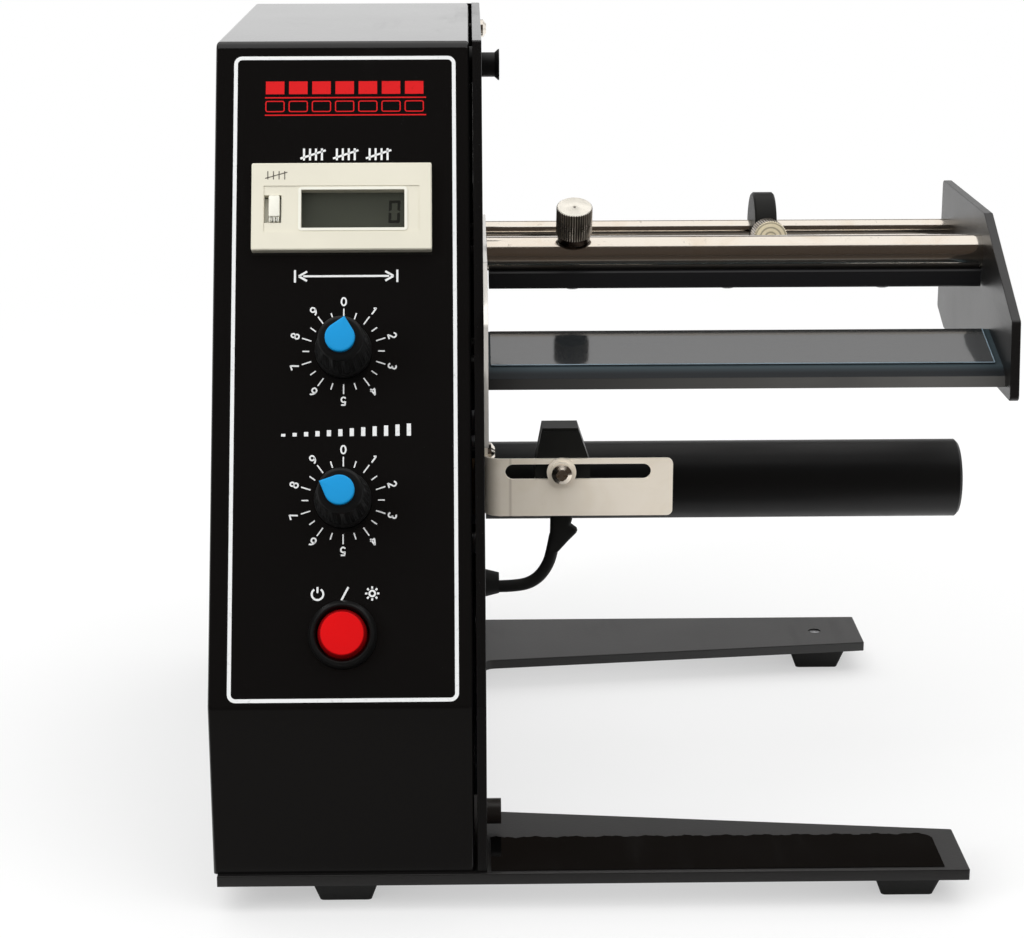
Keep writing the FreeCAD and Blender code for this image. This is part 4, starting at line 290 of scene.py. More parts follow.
class Flow:
    """One output of a shader node, which takes part in sums."""

    def __init__(self, paint, socket):
        self.paint = paint
        self.socket = socket

    def _with(self, operation, first, second):
        return self.paint.node("Math", {"operation": operation}, {0: first, 1: second})

    def __add__(self, other):
        return self._with("ADD", self, other)

    def __radd__(self, other):
        return self._with("ADD", other, self)

    def __sub__(self, other):
        return self._with("SUBTRACT", self, other)

    def __rsub__(self, other):
        return self._with("SUBTRACT", other, self)

    def __mul__(self, other):
        return self._with("MULTIPLY", self, other)

    def __rmul__(self, other):
        return self._with("MULTIPLY", other, self)

    def __gt__(self, other):
        return self._with("GREATER_THAN", self, other)

    def __lt__(self, other):
        return self._with("LESS_THAN", self, other)

    def size(self):
        """The number without its sign."""
        return self.paint.node("Math", {"operation": "ABSOLUTE"}, {0: self})

    def step(self, low, high):
        """0 below low and 1 above high, smoothly in between."""
        made = {"interpolation_type": "SMOOTHSTEP"}
        return self.paint.node("MapRange", made, {0: self, 1: low, 2: high, 3: 0.0, 4: 1.0})


class Paint:
    """A node tree under construction: a material's or the world's."""

    def __init__(self, tree):
        self.tree = tree
        tree.nodes.clear()

    def node(self, kind, settings=None, inputs=None, output=0):
        """One node: settings first, then the values or links of its sockets."""
        made = self.tree.nodes.new("ShaderNode" + kind)
        for key, value in (settings or {}).items():
            setattr(made, key, value)
        for key, value in (inputs or {}).items():
            if isinstance(value, Flow):
                self.tree.links.new(value.socket, made.inputs[key])
            else:
                made.inputs[key].default_value = value
        return Flow(self, made.outputs[output] if len(made.outputs) else None)

    def place(self):
        """Object coordinates."""
        return self.node("TexCoord", output="Object")

    def axes(self, vector):
        """A vector's three numbers."""
        split = self.node("SeparateXYZ", inputs={0: vector})
        outs = split.socket.node.outputs
        return Flow(self, outs[0]), Flow(self, outs[1]), Flow(self, outs[2])

    def grain(self, scale, detail=3.0, rough=0.55, stretch=(1, 1, 1), warp=0.0):
        """Noise from 0 to 1 in Object coordinates, which may be stretched along the axes."""
        where = self.node("Mapping", inputs={"Vector": self.place(), "Scale": stretch})
        given = {"Vector": where, "Scale": scale, "Detail": detail, "Roughness": rough,
                 "Distortion": warp}
        return self.node("TexNoise", inputs=given)

    def mix(self, share, first, second):
        """A colour between two colours."""
        given = {0: share, 6: first, 7: second}
        return self.node("Mix", {"data_type": "RGBA"}, given, output=2)

    def kept(self, name):
        """A number that is kept on the mesh's points."""
        return self.node("Attribute", {"attribute_name": name}, output="Fac")

    def relief(self, height, distance):
        """A normal from a height, which the distance turns into metres."""
        given = {"Height": height, "Distance": distance, "Strength": 1.0}
        return self.node("Bump", inputs=given)


def rgb(red, green, blue):
    """A linear colour with full alpha."""
    return (red, green, blue, 1.0)


def new_paint(name):
    """An empty material and its node tree."""
    material = bpy.data.materials.new(name)
    material.use_nodes = True
    return material, Paint(material.node_tree)


def finish_paint(paint, sockets, fixed=None):
    """End a material in one Principled shader. Fixed numbers stay on its own sockets."""
    given = dict(fixed or {})
    given.update(sockets)
    shader = paint.node("BsdfPrincipled", inputs=given)
    paint.node("OutputMaterial", inputs={"Surface": shader})


def painted(name, colour, rough, peel_scale, peel, dust=0.0, level=0.5):
    """Sprayed black metal: slow smudges in the gloss, an even peel in the coat and dust."""
    material, paint = new_paint(name)
    smudge = paint.grain(28.0, 4.0, 0.6)
    peel_height = paint.grain(peel_scale, 2.0, 0.5)
    specks = paint.grain(2600.0, 1.0, 0.4).step(0.74, 0.80)
    streak = paint.grain(90.0, 3.0, 0.6, stretch=(1.0, 0.15, 1.0)).step(0.55, 0.75)
    base = paint.mix(specks * dust, rgb(*colour), rgb(0.30, 0.29, 0.28))
    gloss = rough + 0.10 * (smudge - 0.5) + 0.05 * streak + specks * 0.15
    finish_paint(paint, {"Base Color": base, "Roughness": gloss,
                         "Normal": paint.relief(peel_height, peel)},
                 {"Specular IOR Level": level})
    return material


def plated(name, colour, rough, along=(1.0, 1.0, 1.0), stain=0.25, brush=0.0, hidden=None):
    """Plated metal: fine drawn streaks along one axis, slow stains and rubbed places. Left of a
    hidden plane, across the machine, it is painted dark as shade."""
    material, paint = new_paint(name)
    streaks = paint.grain(1400.0, 3.0, 0.6, stretch=along)
    slow = paint.grain(60.0, 4.0, 0.6, warp=0.6)
    spots = paint.grain(420.0, 3.0, 0.7).step(0.62, 0.78)
    warm = tuple(c * w for c, w in zip(colour, (0.86, 0.74, 0.60)))
    base = paint.mix(slow.step(0.45, 0.8) * stain, rgb(*colour), rgb(*warm))
    base = paint.mix(spots * stain * 0.8, base, rgb(0.22, 0.17, 0.12))
    # Painted shade: left of the plane the metal is painted near black.
    if hidden is not None:
        across = paint.axes(paint.place())[0]
        edge = (hidden + SHIFT[0]) * MM
        base = paint.mix(across.step(edge - 0.0001, edge), rgb(0.01, 0.01, 0.01), base)
    gloss = rough + 0.10 * (slow - 0.5) + 0.12 * brush * streaks + 0.10 * spots
    finish_paint(paint, {"Base Color": base, "Roughness": gloss,
                         "Normal": paint.relief(streaks, 0.000006 + 0.00003 * brush)},
                 {"Metallic": 1.0})
    return material


def moulded(name, colour, rough, grain_scale=1600.0, grain=0.00002, shade=0.12, level=0.5):
    """Moulded plastic: an even fine texture, slow shade and faint handling marks."""
    material, paint = new_paint(name)
    fine = paint.grain(grain_scale, 2.0, 0.5)
    slow = paint.grain(45.0, 3.0, 0.6)
    darker = tuple(c * (1.0 - shade) for c in colour)
    base = paint.mix(slow.step(0.35, 0.7), rgb(*colour), rgb(*darker))
    marks = paint.grain(300.0, 4.0, 0.7, stretch=(1.0, 0.2, 0.4)).step(0.62, 0.75)
    gloss = rough + 0.10 * (slow - 0.5) + 0.08 * marks
    finish_paint(paint, {"Base Color": base, "Roughness": gloss,
                         "Normal": paint.relief(fine, grain)},
                 {"Specular IOR Level": level})
    return material


def lens_red(name):
    """Lit red lens: bright flat face, painted shade on its side below its edge, soft moulding
    texture.
    """
    material, paint = new_paint(name)
    # Painted shade: the side below the face's edge is painted dark red.
    side = paint.kept("reach").step(LENS_EDGE, LENS_SIDE)
    slow = paint.grain(70.0, 3.0, 0.6)
    face = paint.mix(slow, rgb(0.62, 0.004, 0.005), rgb(0.54, 0.003, 0.005))
    base = paint.mix(side, face, rgb(0.20, 0.002, 0.003))
    fine = paint.grain(900.0, 2.0, 0.5)
    finish_paint(paint, {"Base Color": base, "Roughness": 0.24 + 0.1 * slow,
                         "Emission Color": base, "Normal": paint.relief(fine, 0.000008)},
                 {"Emission Strength": 0.04, "Specular IOR Level": 0.05})
    return material


def knurled_metal(name, face_colour, face_metal, ring=0.0):
    """Nickelled screw head: a bright, partly non-metal face as painted sheen with fine turned
    rings, wide painted dark reflection rings where ring is above zero, and painted shade in the
    flutes and at the neck."""
    material, paint = new_paint(name)
    reach, height = paint.kept("reach"), paint.kept("height")
    face = (height > THUMB_TOP - 0.25) * (reach < THUMB_RADIUS - 0.05)
    rings = paint.node("Math", {"operation": "SINE"}, {0: reach * 26.0})
    worn = paint.grain(260.0, 4.0, 0.65)
    # Painted shade: the flutes' hollows and the neck under the head are painted dark brown.
    flute = 1.0 - (reach - (THUMB_RADIUS - 0.32)).step(0.0, 0.30)
    neck = 1.0 - height.step(THUMB_NECK - 0.1, THUMB_NECK + 0.4)
    flute_neck_shade = paint.node("Math", {"operation": "MAXIMUM"}, {0: flute, 1: neck})
    side = paint.mix(flute_neck_shade, rgb(0.62, 0.54, 0.45), rgb(0.035, 0.024, 0.018))
    # Painted sheen: the face is a bright cream, partly non-metal by face_metal, in place of its
    # reflection.
    pale = paint.mix(worn.step(0.4, 0.75) * 0.6, rgb(*face_colour),
                     rgb(*(c * 0.72 for c in face_colour)))
    # Painted reflection: wide dark rings across the face where ring is above zero.
    groove = paint.node("Math", {"operation": "SINE"}, {0: reach * 4.6})
    pale = paint.mix(groove.step(0.0, 1.0) * ring, pale, rgb(*(c * 0.25 for c in face_colour)))
    base = paint.mix(face, side, pale)
    shade = 0.22 + 0.12 * worn + 0.04 * rings * face
    finish_paint(paint, {"Base Color": base, "Roughness": shade,
                         "Metallic": 1.0 - face * (1.0 - face_metal),
                         "Normal": paint.relief(rings * face, 0.000012)})
    return material


def bracket_plate(name):
    """Bright plated sheet with rubbed stains, drawn lines and painted shade along its bend."""
    material, paint = new_paint(name)
    across = paint.axes(paint.place())[0]
    slow = paint.grain(55.0, 4.0, 0.6, warp=0.8)
    drawn = paint.grain(900.0, 3.0, 0.6, stretch=(0.05, 1.0, 1.0))
    spots = paint.grain(500.0, 3.0, 0.7).step(0.66, 0.80)
    bend = (BRACKET_BEND + SHIFT[0]) * MM
    # Painted shade: a dark brown line along the bend.
    bend_shade = 1.0 - ((across - bend).size() + 0.0004 * (slow - 0.5)).step(0.0, 0.0006)
    base = paint.mix(slow.step(0.35, 0.75), rgb(0.93, 0.85, 0.73), rgb(0.86, 0.77, 0.63))
    base = paint.mix(spots * 0.35, base, rgb(0.40, 0.36, 0.30))
    base = paint.mix(bend_shade * 0.35, base, rgb(0.30, 0.22, 0.15))
    finish_paint(paint, {"Base Color": base, "Roughness": 0.40 + 0.16 * (slow - 0.5),
                         "Metallic": 0.06 + 0.08 * drawn,
                         "Normal": paint.relief(drawn + 0.4 * slow, 0.00001)})
    return material


def plate_with_edge_highlight(name, node):
    """Black sheet with painted highlights on its edges: what lies between its two faces is edge."""
    material, paint = new_paint(name)
    left, right = np.array(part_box(node))[:, 0].tolist()
    skin = 0.05 * MM
    across = paint.axes(paint.place())[0]
    edge = across.step(left, left + skin) * (1.0 - across.step(right - skin, right))
    slow = paint.grain(120.0, 4.0, 0.6)
    fine = paint.grain(1500.0, 2.0, 0.5)
    # Painted highlight: the edge strips are painted pale and partly metallic.
    bright = paint.mix(slow, rgb(0.90, 0.87, 0.82), rgb(0.75, 0.72, 0.67))
    base = paint.mix(edge, rgb(0.005, 0.0048, 0.0047), bright)
    finish_paint(paint, {"Base Color": base, "Roughness": 0.30 - 0.12 * edge + 0.08 * slow,
                         "Metallic": edge * 0.4, "Normal": paint.relief(fine, 0.00001)},
                 {"Specular IOR Level": 0.3})
    return material


def peel_black(name):
    """Dark anodised bar whose upright front face is painted lighter grey as sheen, more so to the
    right, and whose bevel carries a painted reflection.
    """
    material, paint = new_paint(name)
    across, back, up = paint.axes(paint.place())
    top = (PEEL_FACE_TOP + SHIFT[2]) * MM
    rear = (PEEL_FACE_BACK + SHIFT[1]) * MM
    face = (1.0 - up.step(top, top + 0.3 * MM)) * (1.0 - back.step(rear, rear + 0.6 * MM))
    slow = paint.grain(50.0, 4.0, 0.6, stretch=(0.3, 1.0, 1.0))
    fine = paint.grain(2600.0, 2.0, 0.5)
    # Painted sheen: the upright front face is painted lighter grey, rising to the right.
    right = across.step(-0.060, 0.115)
    face_sheen = paint.mix(right, rgb(0.016, 0.016, 0.015), rgb(0.105, 0.103, 0.098))
    face_sheen = paint.mix(slow.step(0.4, 0.7) * 0.3, face_sheen, rgb(0.032, 0.031, 0.030))
    # Painted reflection: the bevel is painted lighter and bluer towards its top.
    climb = up.step(top + 0.9 * MM, top + 2.6 * MM)
    bevel = paint.mix(climb, rgb(0.009, 0.011, 0.013), rgb(0.034, 0.050, 0.058))
    base = paint.mix(face, bevel, face_sheen)
    finish_paint(paint, {"Base Color": base, "Roughness": 0.40 + 0.12 * slow,
                         "Normal": paint.relief(fine, 0.00001)},
                 {"Specular IOR Level": 0.16})
    return material


def film_sheet(name):
    """Clear stiff sheet: strong gloss over the dark plate and long faint wipe marks. Its surface
    bows a few degrees towards the front, which the height carries as an even slope."""
    material, paint = new_paint(name)
    back = paint.axes(paint.place())[1]
    wipe = paint.grain(40.0, 4.0, 0.6, stretch=(0.25, 1.0, 1.0))
    base = paint.mix(wipe, rgb(0.026, 0.028, 0.030), rgb(0.016, 0.018, 0.019))
    height = back * 0.085 + wipe * 0.00002
    finish_paint(paint, {"Base Color": base, "Roughness": 0.05 + 0.05 * wipe,
                         "Alpha": 0.80 + 0.06 * (wipe - 0.5),
                         "Normal": paint.relief(height, 1.0)},
                 {"Specular IOR Level": 1.0, "IOR": 1.85})
    return material


def printed(name, colour):
    """Screen-printed ink: slightly uneven cover over the black coat."""
    material, paint = new_paint(name)
    cover = paint.grain(900.0, 3.0, 0.6).step(0.2, 0.45)
    thin = tuple(c * 0.75 for c in colour)
    base = paint.mix(cover, rgb(*thin), rgb(*colour))
    finish_paint(paint, {"Base Color": base, "Roughness": 0.5 + 0.1 * cover,
                         "Normal": paint.relief(cover, 0.00001)},
                 {"Specular IOR Level": 0.12})
    return material


def clear(name, tint, alpha, rough=0.04):
    """Clear window: a thin tinted gloss with faint wipe marks."""
    material, paint = new_paint(name)
    wipe = paint.grain(40.0, 4.0, 0.6, stretch=(0.4, 1.0, 1.0))
    base = paint.mix(wipe, rgb(*tint), rgb(*(c * 0.85 for c in tint)))
    finish_paint(paint, {"Base Color": base, "Roughness": rough + 0.05 * wipe,
                         "Alpha": alpha + 0.06 * (wipe - 0.5),
                         "Normal": paint.relief(wipe, 0.00002)})
    return material


ENAMEL = painted("enamel_black", (0.0036, 0.0034, 0.0034), 0.10, 420.0, 0.000010, 0.03)
SATIN = painted("powder_coat_black", (0.0052, 0.0048, 0.0046), 0.36, 1500.0, 0.00003, 0.05,
                level=0.65)
WALL_PAINT = painted("wall_plate_black", (0.0036, 0.0034, 0.0034), 0.20, 700.0, 0.000012, 0.04,
                     level=0.4)
ANODISED = painted("anodised_black", (0.0085, 0.0085, 0.0095), 0.34, 3000.0, 0.000012, 0.04,
                   level=0.35)
TUBE_PAINT = painted("tube_black", (0.0052, 0.0050, 0.0050), 0.40, 1800.0, 0.00001, 0.04,
                     level=0.25)
NICKEL = plated("nickel_rods", (0.84, 0.775, 0.685), 0.12, along=(0.04, 1.0, 1.0), stain=0.45)
DOME_NICKEL = plated("nickel_screws", (0.84, 0.78, 0.70), 0.14, stain=0.3, hidden=WALL_FACE)
INNER_PLATE = plate_with_edge_highlight("plate_edge_highlight", "inner_side_plate")
PEEL_PAINT = peel_black("peel_plate_black")
ZINC = plated("zinc_steel", (0.62, 0.63, 0.65), 0.30, stain=0.15, brush=0.4)
BRACKET = bracket_plate("bright_bracket")
BLACK_SCREW = painted("black_screws", (0.016, 0.012, 0.010), 0.35, 2500.0, 0.00001, 0.05)
BLACK_PLASTIC = moulded("black_plastic", (0.006, 0.006, 0.006), 0.40, level=0.25)
SENSOR_PLASTIC = moulded("sensor_plastic", (0.0125, 0.0125, 0.0115), 0.42, level=0.1)
RUBBER = moulded("black_rubber", (0.010, 0.010, 0.0095), 0.5, 1200.0, 0.00004, level=0.25)
IVORY = moulded("ivory_plastic", (0.70, 0.67, 0.555), 0.42, 2200.0, 0.00001, 0.04)
IVORY_PALE = moulded("ivory_frame", (0.775, 0.765, 0.675), 0.38, 2200.0, 0.00001, 0.03)
BLUE = moulded("blue_plastic", (0.008, 0.26, 0.575), 0.36, 1800.0, 0.00001, 0.08, level=0.12)
RED = lens_red("red_lens")
LCD = moulded("liquid_crystal", (0.056, 0.060, 0.044), 0.30, 700.0, 0.000004, 0.10, level=0.3)
LCD_DARK = moulded("liquid_crystal_digit", (0.008, 0.007, 0.006), 0.3, 700.0, 0.000004, 0.05,
                   level=0.2)
WINDOW = clear("clear_window", (0.05, 0.055, 0.045), 0.10, 0.05)
FILM = film_sheet("clear_film")
BRONZE = plated("bearing_bronze", (0.62, 0.45, 0.25), 0.4, stain=0.2, brush=0.2)
ALLOY = plated("gearbox_alloy", (0.6, 0.6, 0.6), 0.45, stain=0.1, brush=0.3)
MOTOR = plated("motor_steel", (0.5, 0.5, 0.49), 0.4, stain=0.15, brush=0.2)
BOARD = moulded("board_green", (0.02, 0.18, 0.07), 0.35, 900.0, 0.00002)
WHITE_INK = printed("white_ink", (0.72, 0.73, 0.73))
RED_INK = printed("red_ink", (0.60, 0.008, 0.010))
GREY_INK = printed("grey_ink", (0.13, 0.12, 0.10))
LEG_FILM = painted("gloss_film_black", (0.0022, 0.0022, 0.0022), 0.06, 60.0, 0.00001, 0.03,
                   level=0.3)
FILM_EDGE = moulded("film_edge", (0.20, 0.27, 0.32), 0.3, 900.0, 0.00001, 0.3)
ROD_HEAD = knurled_metal("rod_screw_nickel", (0.84, 0.80, 0.71), 0.55)
DISC_HEAD = knurled_metal("disc_screw_nickel", (0.95, 0.84, 0.60), 0.3, 0.7)

SLOT_PAINTS = {
    "black_enamel": ENAMEL, "black_satin_paint": SATIN, "black_rubber": RUBBER,
    "zinc_steel": ZINC, "black_screws": BLACK_SCREW, "ivory_plastic": IVORY,
    "grey_display": LCD, "clear_window": WINDOW, "black_plastic": BLACK_PLASTIC,
    "blue_plastic": BLUE, "red_lens": RED, "potentiometer_metal": ALLOY,
    "nickel_plate": NICKEL, "black_anodised": ANODISED, "clear_film": FILM,
    "bright_steel": ZINC, "bearing_bronze": BRONZE, "gearbox_alloy": ALLOY,
    "motor_steel": MOTOR, "board_green": BOARD,
}
NODE_PAINTS = {
    "sensor_bracket": BRACKET, "sensor_washers": BRACKET, "wall_screws": DOME_NICKEL,
    "wall_plate": WALL_PAINT, "inner_side_plate": INNER_PLATE, "take_up_tube": TUBE_PAINT,
    "peel_plate": PEEL_PAINT, "sensor_head": SENSOR_PLASTIC, "guide_disc": SENSOR_PLASTIC,
    "side_plate_screws": BLACK_SCREW,
}


def paint_nodes():
    """Give every solid the paint of its slot."""
    for row in frame["record"]["subparts"]:
        node = frame["nodes"][row["node"]]
        paint = NODE_PAINTS.get(row["node"], SLOT_PAINTS[row["material_slot"]])
        node.data.materials.clear()
        node.data.materials.append(paint)


# Pieces

def place_strips(name, strips, paint, low=PRINT_FOOT, high=PRINT_TOP):
    """A print on the panel: thin slabs, each between two lines of (u, v) in millimetres."""
    points, faces = flat_marks(strips, low, high)
    outward(add_piece(name, points, faces, paint, "root"))


def place_print(name, strokes, width, paint, low=PRINT_FOOT, high=PRINT_TOP):
    """A print on the panel: strokes of one width."""
    place_strips(name, [widen(stroke, width) for stroke in strokes], paint, low, high)


def panel_border():
    """White line round the panel: a rounded rectangle and the same one a line's width inside."""
    wide, high, bend, width = 59.8, 174.7, 2.2, 1.0
    edges = [box_line(34.9, 88.55, wide - 2 * inset, high - 2 * inset, bend - inset, 9)
             for inset in (0.0, width)]
    place_strips("panel_border", [edges], WHITE_INK)


def dial_ticks(name, place):
    """Ten long and ten short strokes on rays from a dial's axis."""
    strips = []
    for index in range(20):
        angle = math.radians(18.0 * index)
        inner, outer = (9.0, 11.6) if index % 2 == 0 else (9.1, 10.9)
        ray = np.array([math.sin(angle), math.cos(angle)])
        side = np.array([ray[1], -ray[0]]) * 0.17
        ends = np.array([ray * inner, ray * outer]) + [DIAL_COLUMN, place]
        strips.append((ends - side, ends + side))
    place_strips(f"{name}_dial_ticks", strips, WHITE_INK)


def dial_numbers(name, place):
    """Plain numbers 0 to 9 round a dial: each digit's strokes are lifted to the ring of numbers
    and turned about the dial's axis, so that their tops point outwards."""
    strokes = []
    for index, digit in enumerate(digit_strokes()):
        angle = math.radians(36.0 * index)
        turned = np.array([[math.cos(angle), -math.sin(angle)],
                           [math.sin(angle), math.cos(angle)]])
        for stroke in digit:
            strokes.append((stroke + [0.0, 13.5]) @ turned + [DIAL_COLUMN, place])
    place_print(f"{name}_dial_numbers", strokes, 0.42, WHITE_INK)


def counter_mark():
    """Tally marks above the counting module: four strokes and one across them, three times."""
    strokes = []
    for group in range(3):
        left = 35.2 + 8.8 * (group - 1)
        for index in range(4):
            x = left - 2.4 + 1.6 * index
            strokes.append(line((x, 146.6), (x, 149.9)))
        strokes.append(line((left - 3.4, 147.1), (left + 3.4, 149.4)))
    place_print("tally_mark", strokes, MARK_WIDTH, WHITE_INK)
    small = [line((14.6 + 1.5 * index, 140.4), (14.6 + 1.5 * index, 142.7)) for index in range(4)]
    small.append(line((13.9, 140.7), (19.8, 142.4)))
    place_print("module_tally_mark", small, 0.28, GREY_INK, MODULE_FACE,
                MODULE_FACE + 0.03)


def length_mark():
    """A label's length: a line with an arrowhead at each end, between two bars."""
    x, y, reach = 35.4, 114.5, 12.6
    strokes = [line((x - reach + 1.2, y), (x + reach - 1.2, y))]
    for side in (-1, 1):
        end = x + side * reach
        strokes.append(line((end + side * 1.0, y - 1.7), (end + side * 1.0, y + 1.7)))
        strokes.append(line((end, y), (end - side * 2.2, y + 1.3)))
        strokes.append(line((end, y), (end - side * 2.2, y - 1.3)))
    place_print("length_mark", strokes, MARK_WIDTH, WHITE_INK)


def speed_mark():
    """Speed: upright bars that grow to the right."""
    strokes = []
    for index in range(12):
        x = 19.0 + 3.0 * index
        strokes.append(line((x, 71.1), (x, 71.8 + 0.235 * index)))
    place_print("speed_mark", strokes, 1.1, WHITE_INK)


def power_mark():
    """Power and light: an open ring with a stroke in its gap, a slanted line, and a small sun."""
    y = 29.4
    strokes = [arc(28.2, y - 0.1, 1.5, 1.5, 125, 415, 28), line((28.2, y + 0.2), (28.2, y + 1.8)),
               line((34.4, y - 1.7), (36.2, y + 1.7)), arc(42.4, y, 0.75, 0.75, 0, 360)]
    for index in range(8):
        ray = np.array([math.cos(math.pi / 4 * index), math.sin(math.pi / 4 * index)])
        strokes.append(np.array([ray * 1.25, ray * 1.85]) + [42.4, y])
    place_print("power_mark", strokes, 0.5, WHITE_INK)


def red_emblem():
    """Plain red ornament at the panel's top: a row of label shapes on a web, drawn solid above
    and in outline below, between two thin lines."""
    lefts = [13.6 + 6.25 * index for index in range(7)]
    place_print("red_labels", [line((left, 167.0), (left + 5.0, 167.0)) for left in lefts], 3.6,
                RED_INK)
    place_print("red_web_lines", [line((13.4, 164.2), (56.8, 164.2)),
                                  line((13.4, 159.3), (56.8, 159.3))], 0.35, RED_INK)
    place_print("red_label_outlines", [box_line(left + 2.5, 161.75, 4.9, 2.9) for left in lefts],
                0.3, RED_INK)


def display_frame():
    """Pale raised frame round the display window: a rounded line swept as a slab."""
    centre = (COUNTER[0] + 3.0, COUNTER[1] - COUNTER_DROP)
    place_print("display_frame", [box_line(*centre, 28.3, 11.3)], 0.75, IVORY_PALE,
                MODULE_FACE - 0.6, MODULE_FACE - 0.02)


def box_on_panel(u_edges, v_edges, n_rows):
    """Rings of a block on the panel: at each height a rounded rectangle between the edges, drawn
    in by that row's inset. Rows are (height, inset)."""
    left, right = u_edges
    low, high = v_edges
    rings = []
    for height, inset in n_rows:
        wide, tall = right - left - 2 * inset, high - low - 2 * inset
        ring = box_line((left + right) / 2, (low + high) / 2, wide, tall, 0.35)[:-1]
        rings.append(on_panel(ring[:, 0], ring[:, 1], height))
    return np.stack(rings)


def reset_slider():
    """Reset button: a flange behind the bezel, a tall ivory body and three finger ridges below
    it, each a rounded block."""
    u, v = RESET_COLUMN, COUNTER[1] - COUNTER_DROP
    top = MODULE_FACE + 0.45
    blocks = [((u - 3.0, u + 2.2), (v - 3.6, v + 3.6), ((-0.5, 0.0), (-0.12, 0.0))),
              ((u - 1.45, u + 1.45), (v - 2.2, v + 3.6),
               ((-0.12, 0.0), (top - 0.25, 0.0), (top - 0.06, 0.08), (top, 0.25)))]
    for index in range(3):
        left = u - 1.35 + 0.98 * index
        blocks.append(((left, left + 0.72), (v - 3.62, v - 2.1),
                       ((-0.12, 0.0), (top - 0.45, 0.0), (top - 0.3, 0.12))))
    points, faces, first = [], [], 0
    for u_edges, v_edges, rows in blocks:
        rings = box_on_panel(u_edges, v_edges, rows)
        points.append(rings.reshape(-1, 3))
        faces += tube_faces(len(rows), rings.shape[1], first)
        first += rings.shape[0] * rings.shape[1]
    piece = add_piece("reset_slider", np.concatenate(points), faces, IVORY_PALE, "counter_reset")
    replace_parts(outward(piece), "reset_button")


def knob(name, place, pointer):
    """Fluted knob body and its pointer cap. The cap's outline is a circle, and near its pointer
    the two tangents from the tip."""
    profile = rounded_profile([(3.2, 1.2), (6.9, 0.8), (7.5, 0.8), (7.5, 2.6), (6.9, 3.3),
                               (6.0, 14.9), (5.3, KNOB_TOP), (0.4, KNOB_TOP)], 0.8)
    around = KNOB_FLUTES * 8
    points = turned_on_panel(profile, DIAL_COLUMN, place, around, KNOB_FLUTES, FLUTE_DEPTH,
                             (3.6, 14.0))
    faces = tube_faces(len(profile), around)
    body = add_piece(f"{name}_knob_body", points, faces, BLACK_PLASTIC, f"{name}_dial")
    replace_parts(outward(body), f"{name}_knob")
    radius, tip, top = 3.9, 5.7, 1.4
    beta = math.acos(radius / tip)
    turn = np.linspace(0, 2 * math.pi, 180, endpoint=False)
    off_tip = np.abs((turn + math.pi) % (2 * math.pi) - math.pi)
    reach = np.where(off_tip < beta, radius / np.cos(beta - off_tip), radius)
    angle = turn + math.radians(pointer)
    shares = np.array([1.0, 1.0, 0.985, 0.94, 0.86, 0.5, 0.05])[:, None]
    heights = np.array([0.0, top - 0.55, top - 0.22, top - 0.05, top, top + 0.12, top + 0.18])
    across = DIAL_COLUMN - 0.15 + shares * reach * np.sin(angle)
    up = place + shares * reach * np.cos(angle)
    points = on_panel(across, up, KNOB_TOP + heights[:, None] + 0 * across)
    faces = tube_faces(len(heights), 180)
    cap = add_piece(f"{name}_pointer_cap", points, faces, BLUE, f"{name}_dial")
    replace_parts(outward(cap), f"{name}_knob_cap")


def push_button():
    """Lens with a flat face and sloping side, and its funnel-shaped bezel, both turned."""
    lens = rounded_profile([(0.05, -7.8), (6.4, -7.8), (6.4, 2.6), (5.75, 4.3), (5.45, 4.5),
                            (3.0, 4.58), (0.05, 4.6)], 0.35)
    points = turned_on_panel(lens, DIAL_COLUMN, POWER_PLACE)
    piece = add_piece("push_lens", points, tube_faces(len(lens), 96), RED, "power_button")
    mark_panel_reach(outward(piece), DIAL_COLUMN, POWER_PLACE)
    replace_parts(piece, "button_lens")
    ring = rounded_profile([(6.8, 0.05), (9.0, 0.05), (8.9, 1.6), (8.1, 3.2), (7.6, 3.5),
                            (7.2, 3.3), (6.85, 2.2), (6.8, 0.06)], 0.6)
    points = turned_on_panel(ring, DIAL_COLUMN, POWER_PLACE)
    faces = tube_faces(len(ring), 96, ends=False)
    piece = add_piece("push_bezel", points, faces, BLACK_PLASTIC, "root")
    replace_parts(outward(piece), "button_bezel")


def thumb_screw(name, place, stud, paint, node, body):
    """Knurled screw: its radius follows a profile along its axis, less straight grooves whose
    depth falls off evenly to each side, with rounded ends. Points go round the axis by the
    cosine and sine of the turn."""
    x, y, z, off, rise = place
    rise = math.radians(rise)
    axis = np.array([0.0, -math.cos(rise), math.sin(rise)])
    side = np.array([1.0, 0.0, 0.0])
    up = np.cross(side, axis)
    foot = np.array([x, y, z]) + axis * off
    top = THUMB_TOP
    profile = np.array([(0.05, -stud), (1.7, -stud), (2.0, 0.3 - stud), (2.0, 0.0), (4.2, 0.0),
                        (4.5, 0.25), (4.55, 0.5), (4.55, 1.7), (4.7, 1.98), (4.9, 2.05),
                        (5.0, 2.3), (5.0, 5.0), (5.0, top - 0.5), (4.93, top - 0.2),
                        (4.72, top - 0.03), (4.45, top), (2.6, top), (0.6, top),
                        (0.5, top - 0.06), (0.3, top - 0.3), (0.05, top - 0.36)])
    around = KNURLS * KNURL_STEPS
    turn = np.linspace(0, 2 * math.pi, around, endpoint=False)[None, :]
    radius, height = profile[:, :1], profile[:, 1:]
    phase = (turn * KNURLS / (2 * math.pi)) % 1.0
    groove = KNURL_DEPTH * np.clip(1.0 - np.abs(phase - 0.5) / 0.42, 0.0, 1.0)
    ends = np.clip((height - 2.0) / 0.3, 0, 1) * np.clip((top + 0.05 - height) / 0.3, 0, 1)
    cut = groove * ends * (radius > 4.6)
    reach = (radius - cut)[..., None]
    points = (foot + height[..., None] * axis + reach * np.cos(turn)[..., None] * side
              + reach * np.sin(turn)[..., None] * up)
    faces = tube_faces(len(profile), around)
    piece = outward(add_piece(name, to_row(points), faces, paint, body))
    mark_reach(piece, foot + SHIFT, axis)
    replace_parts(piece, node)


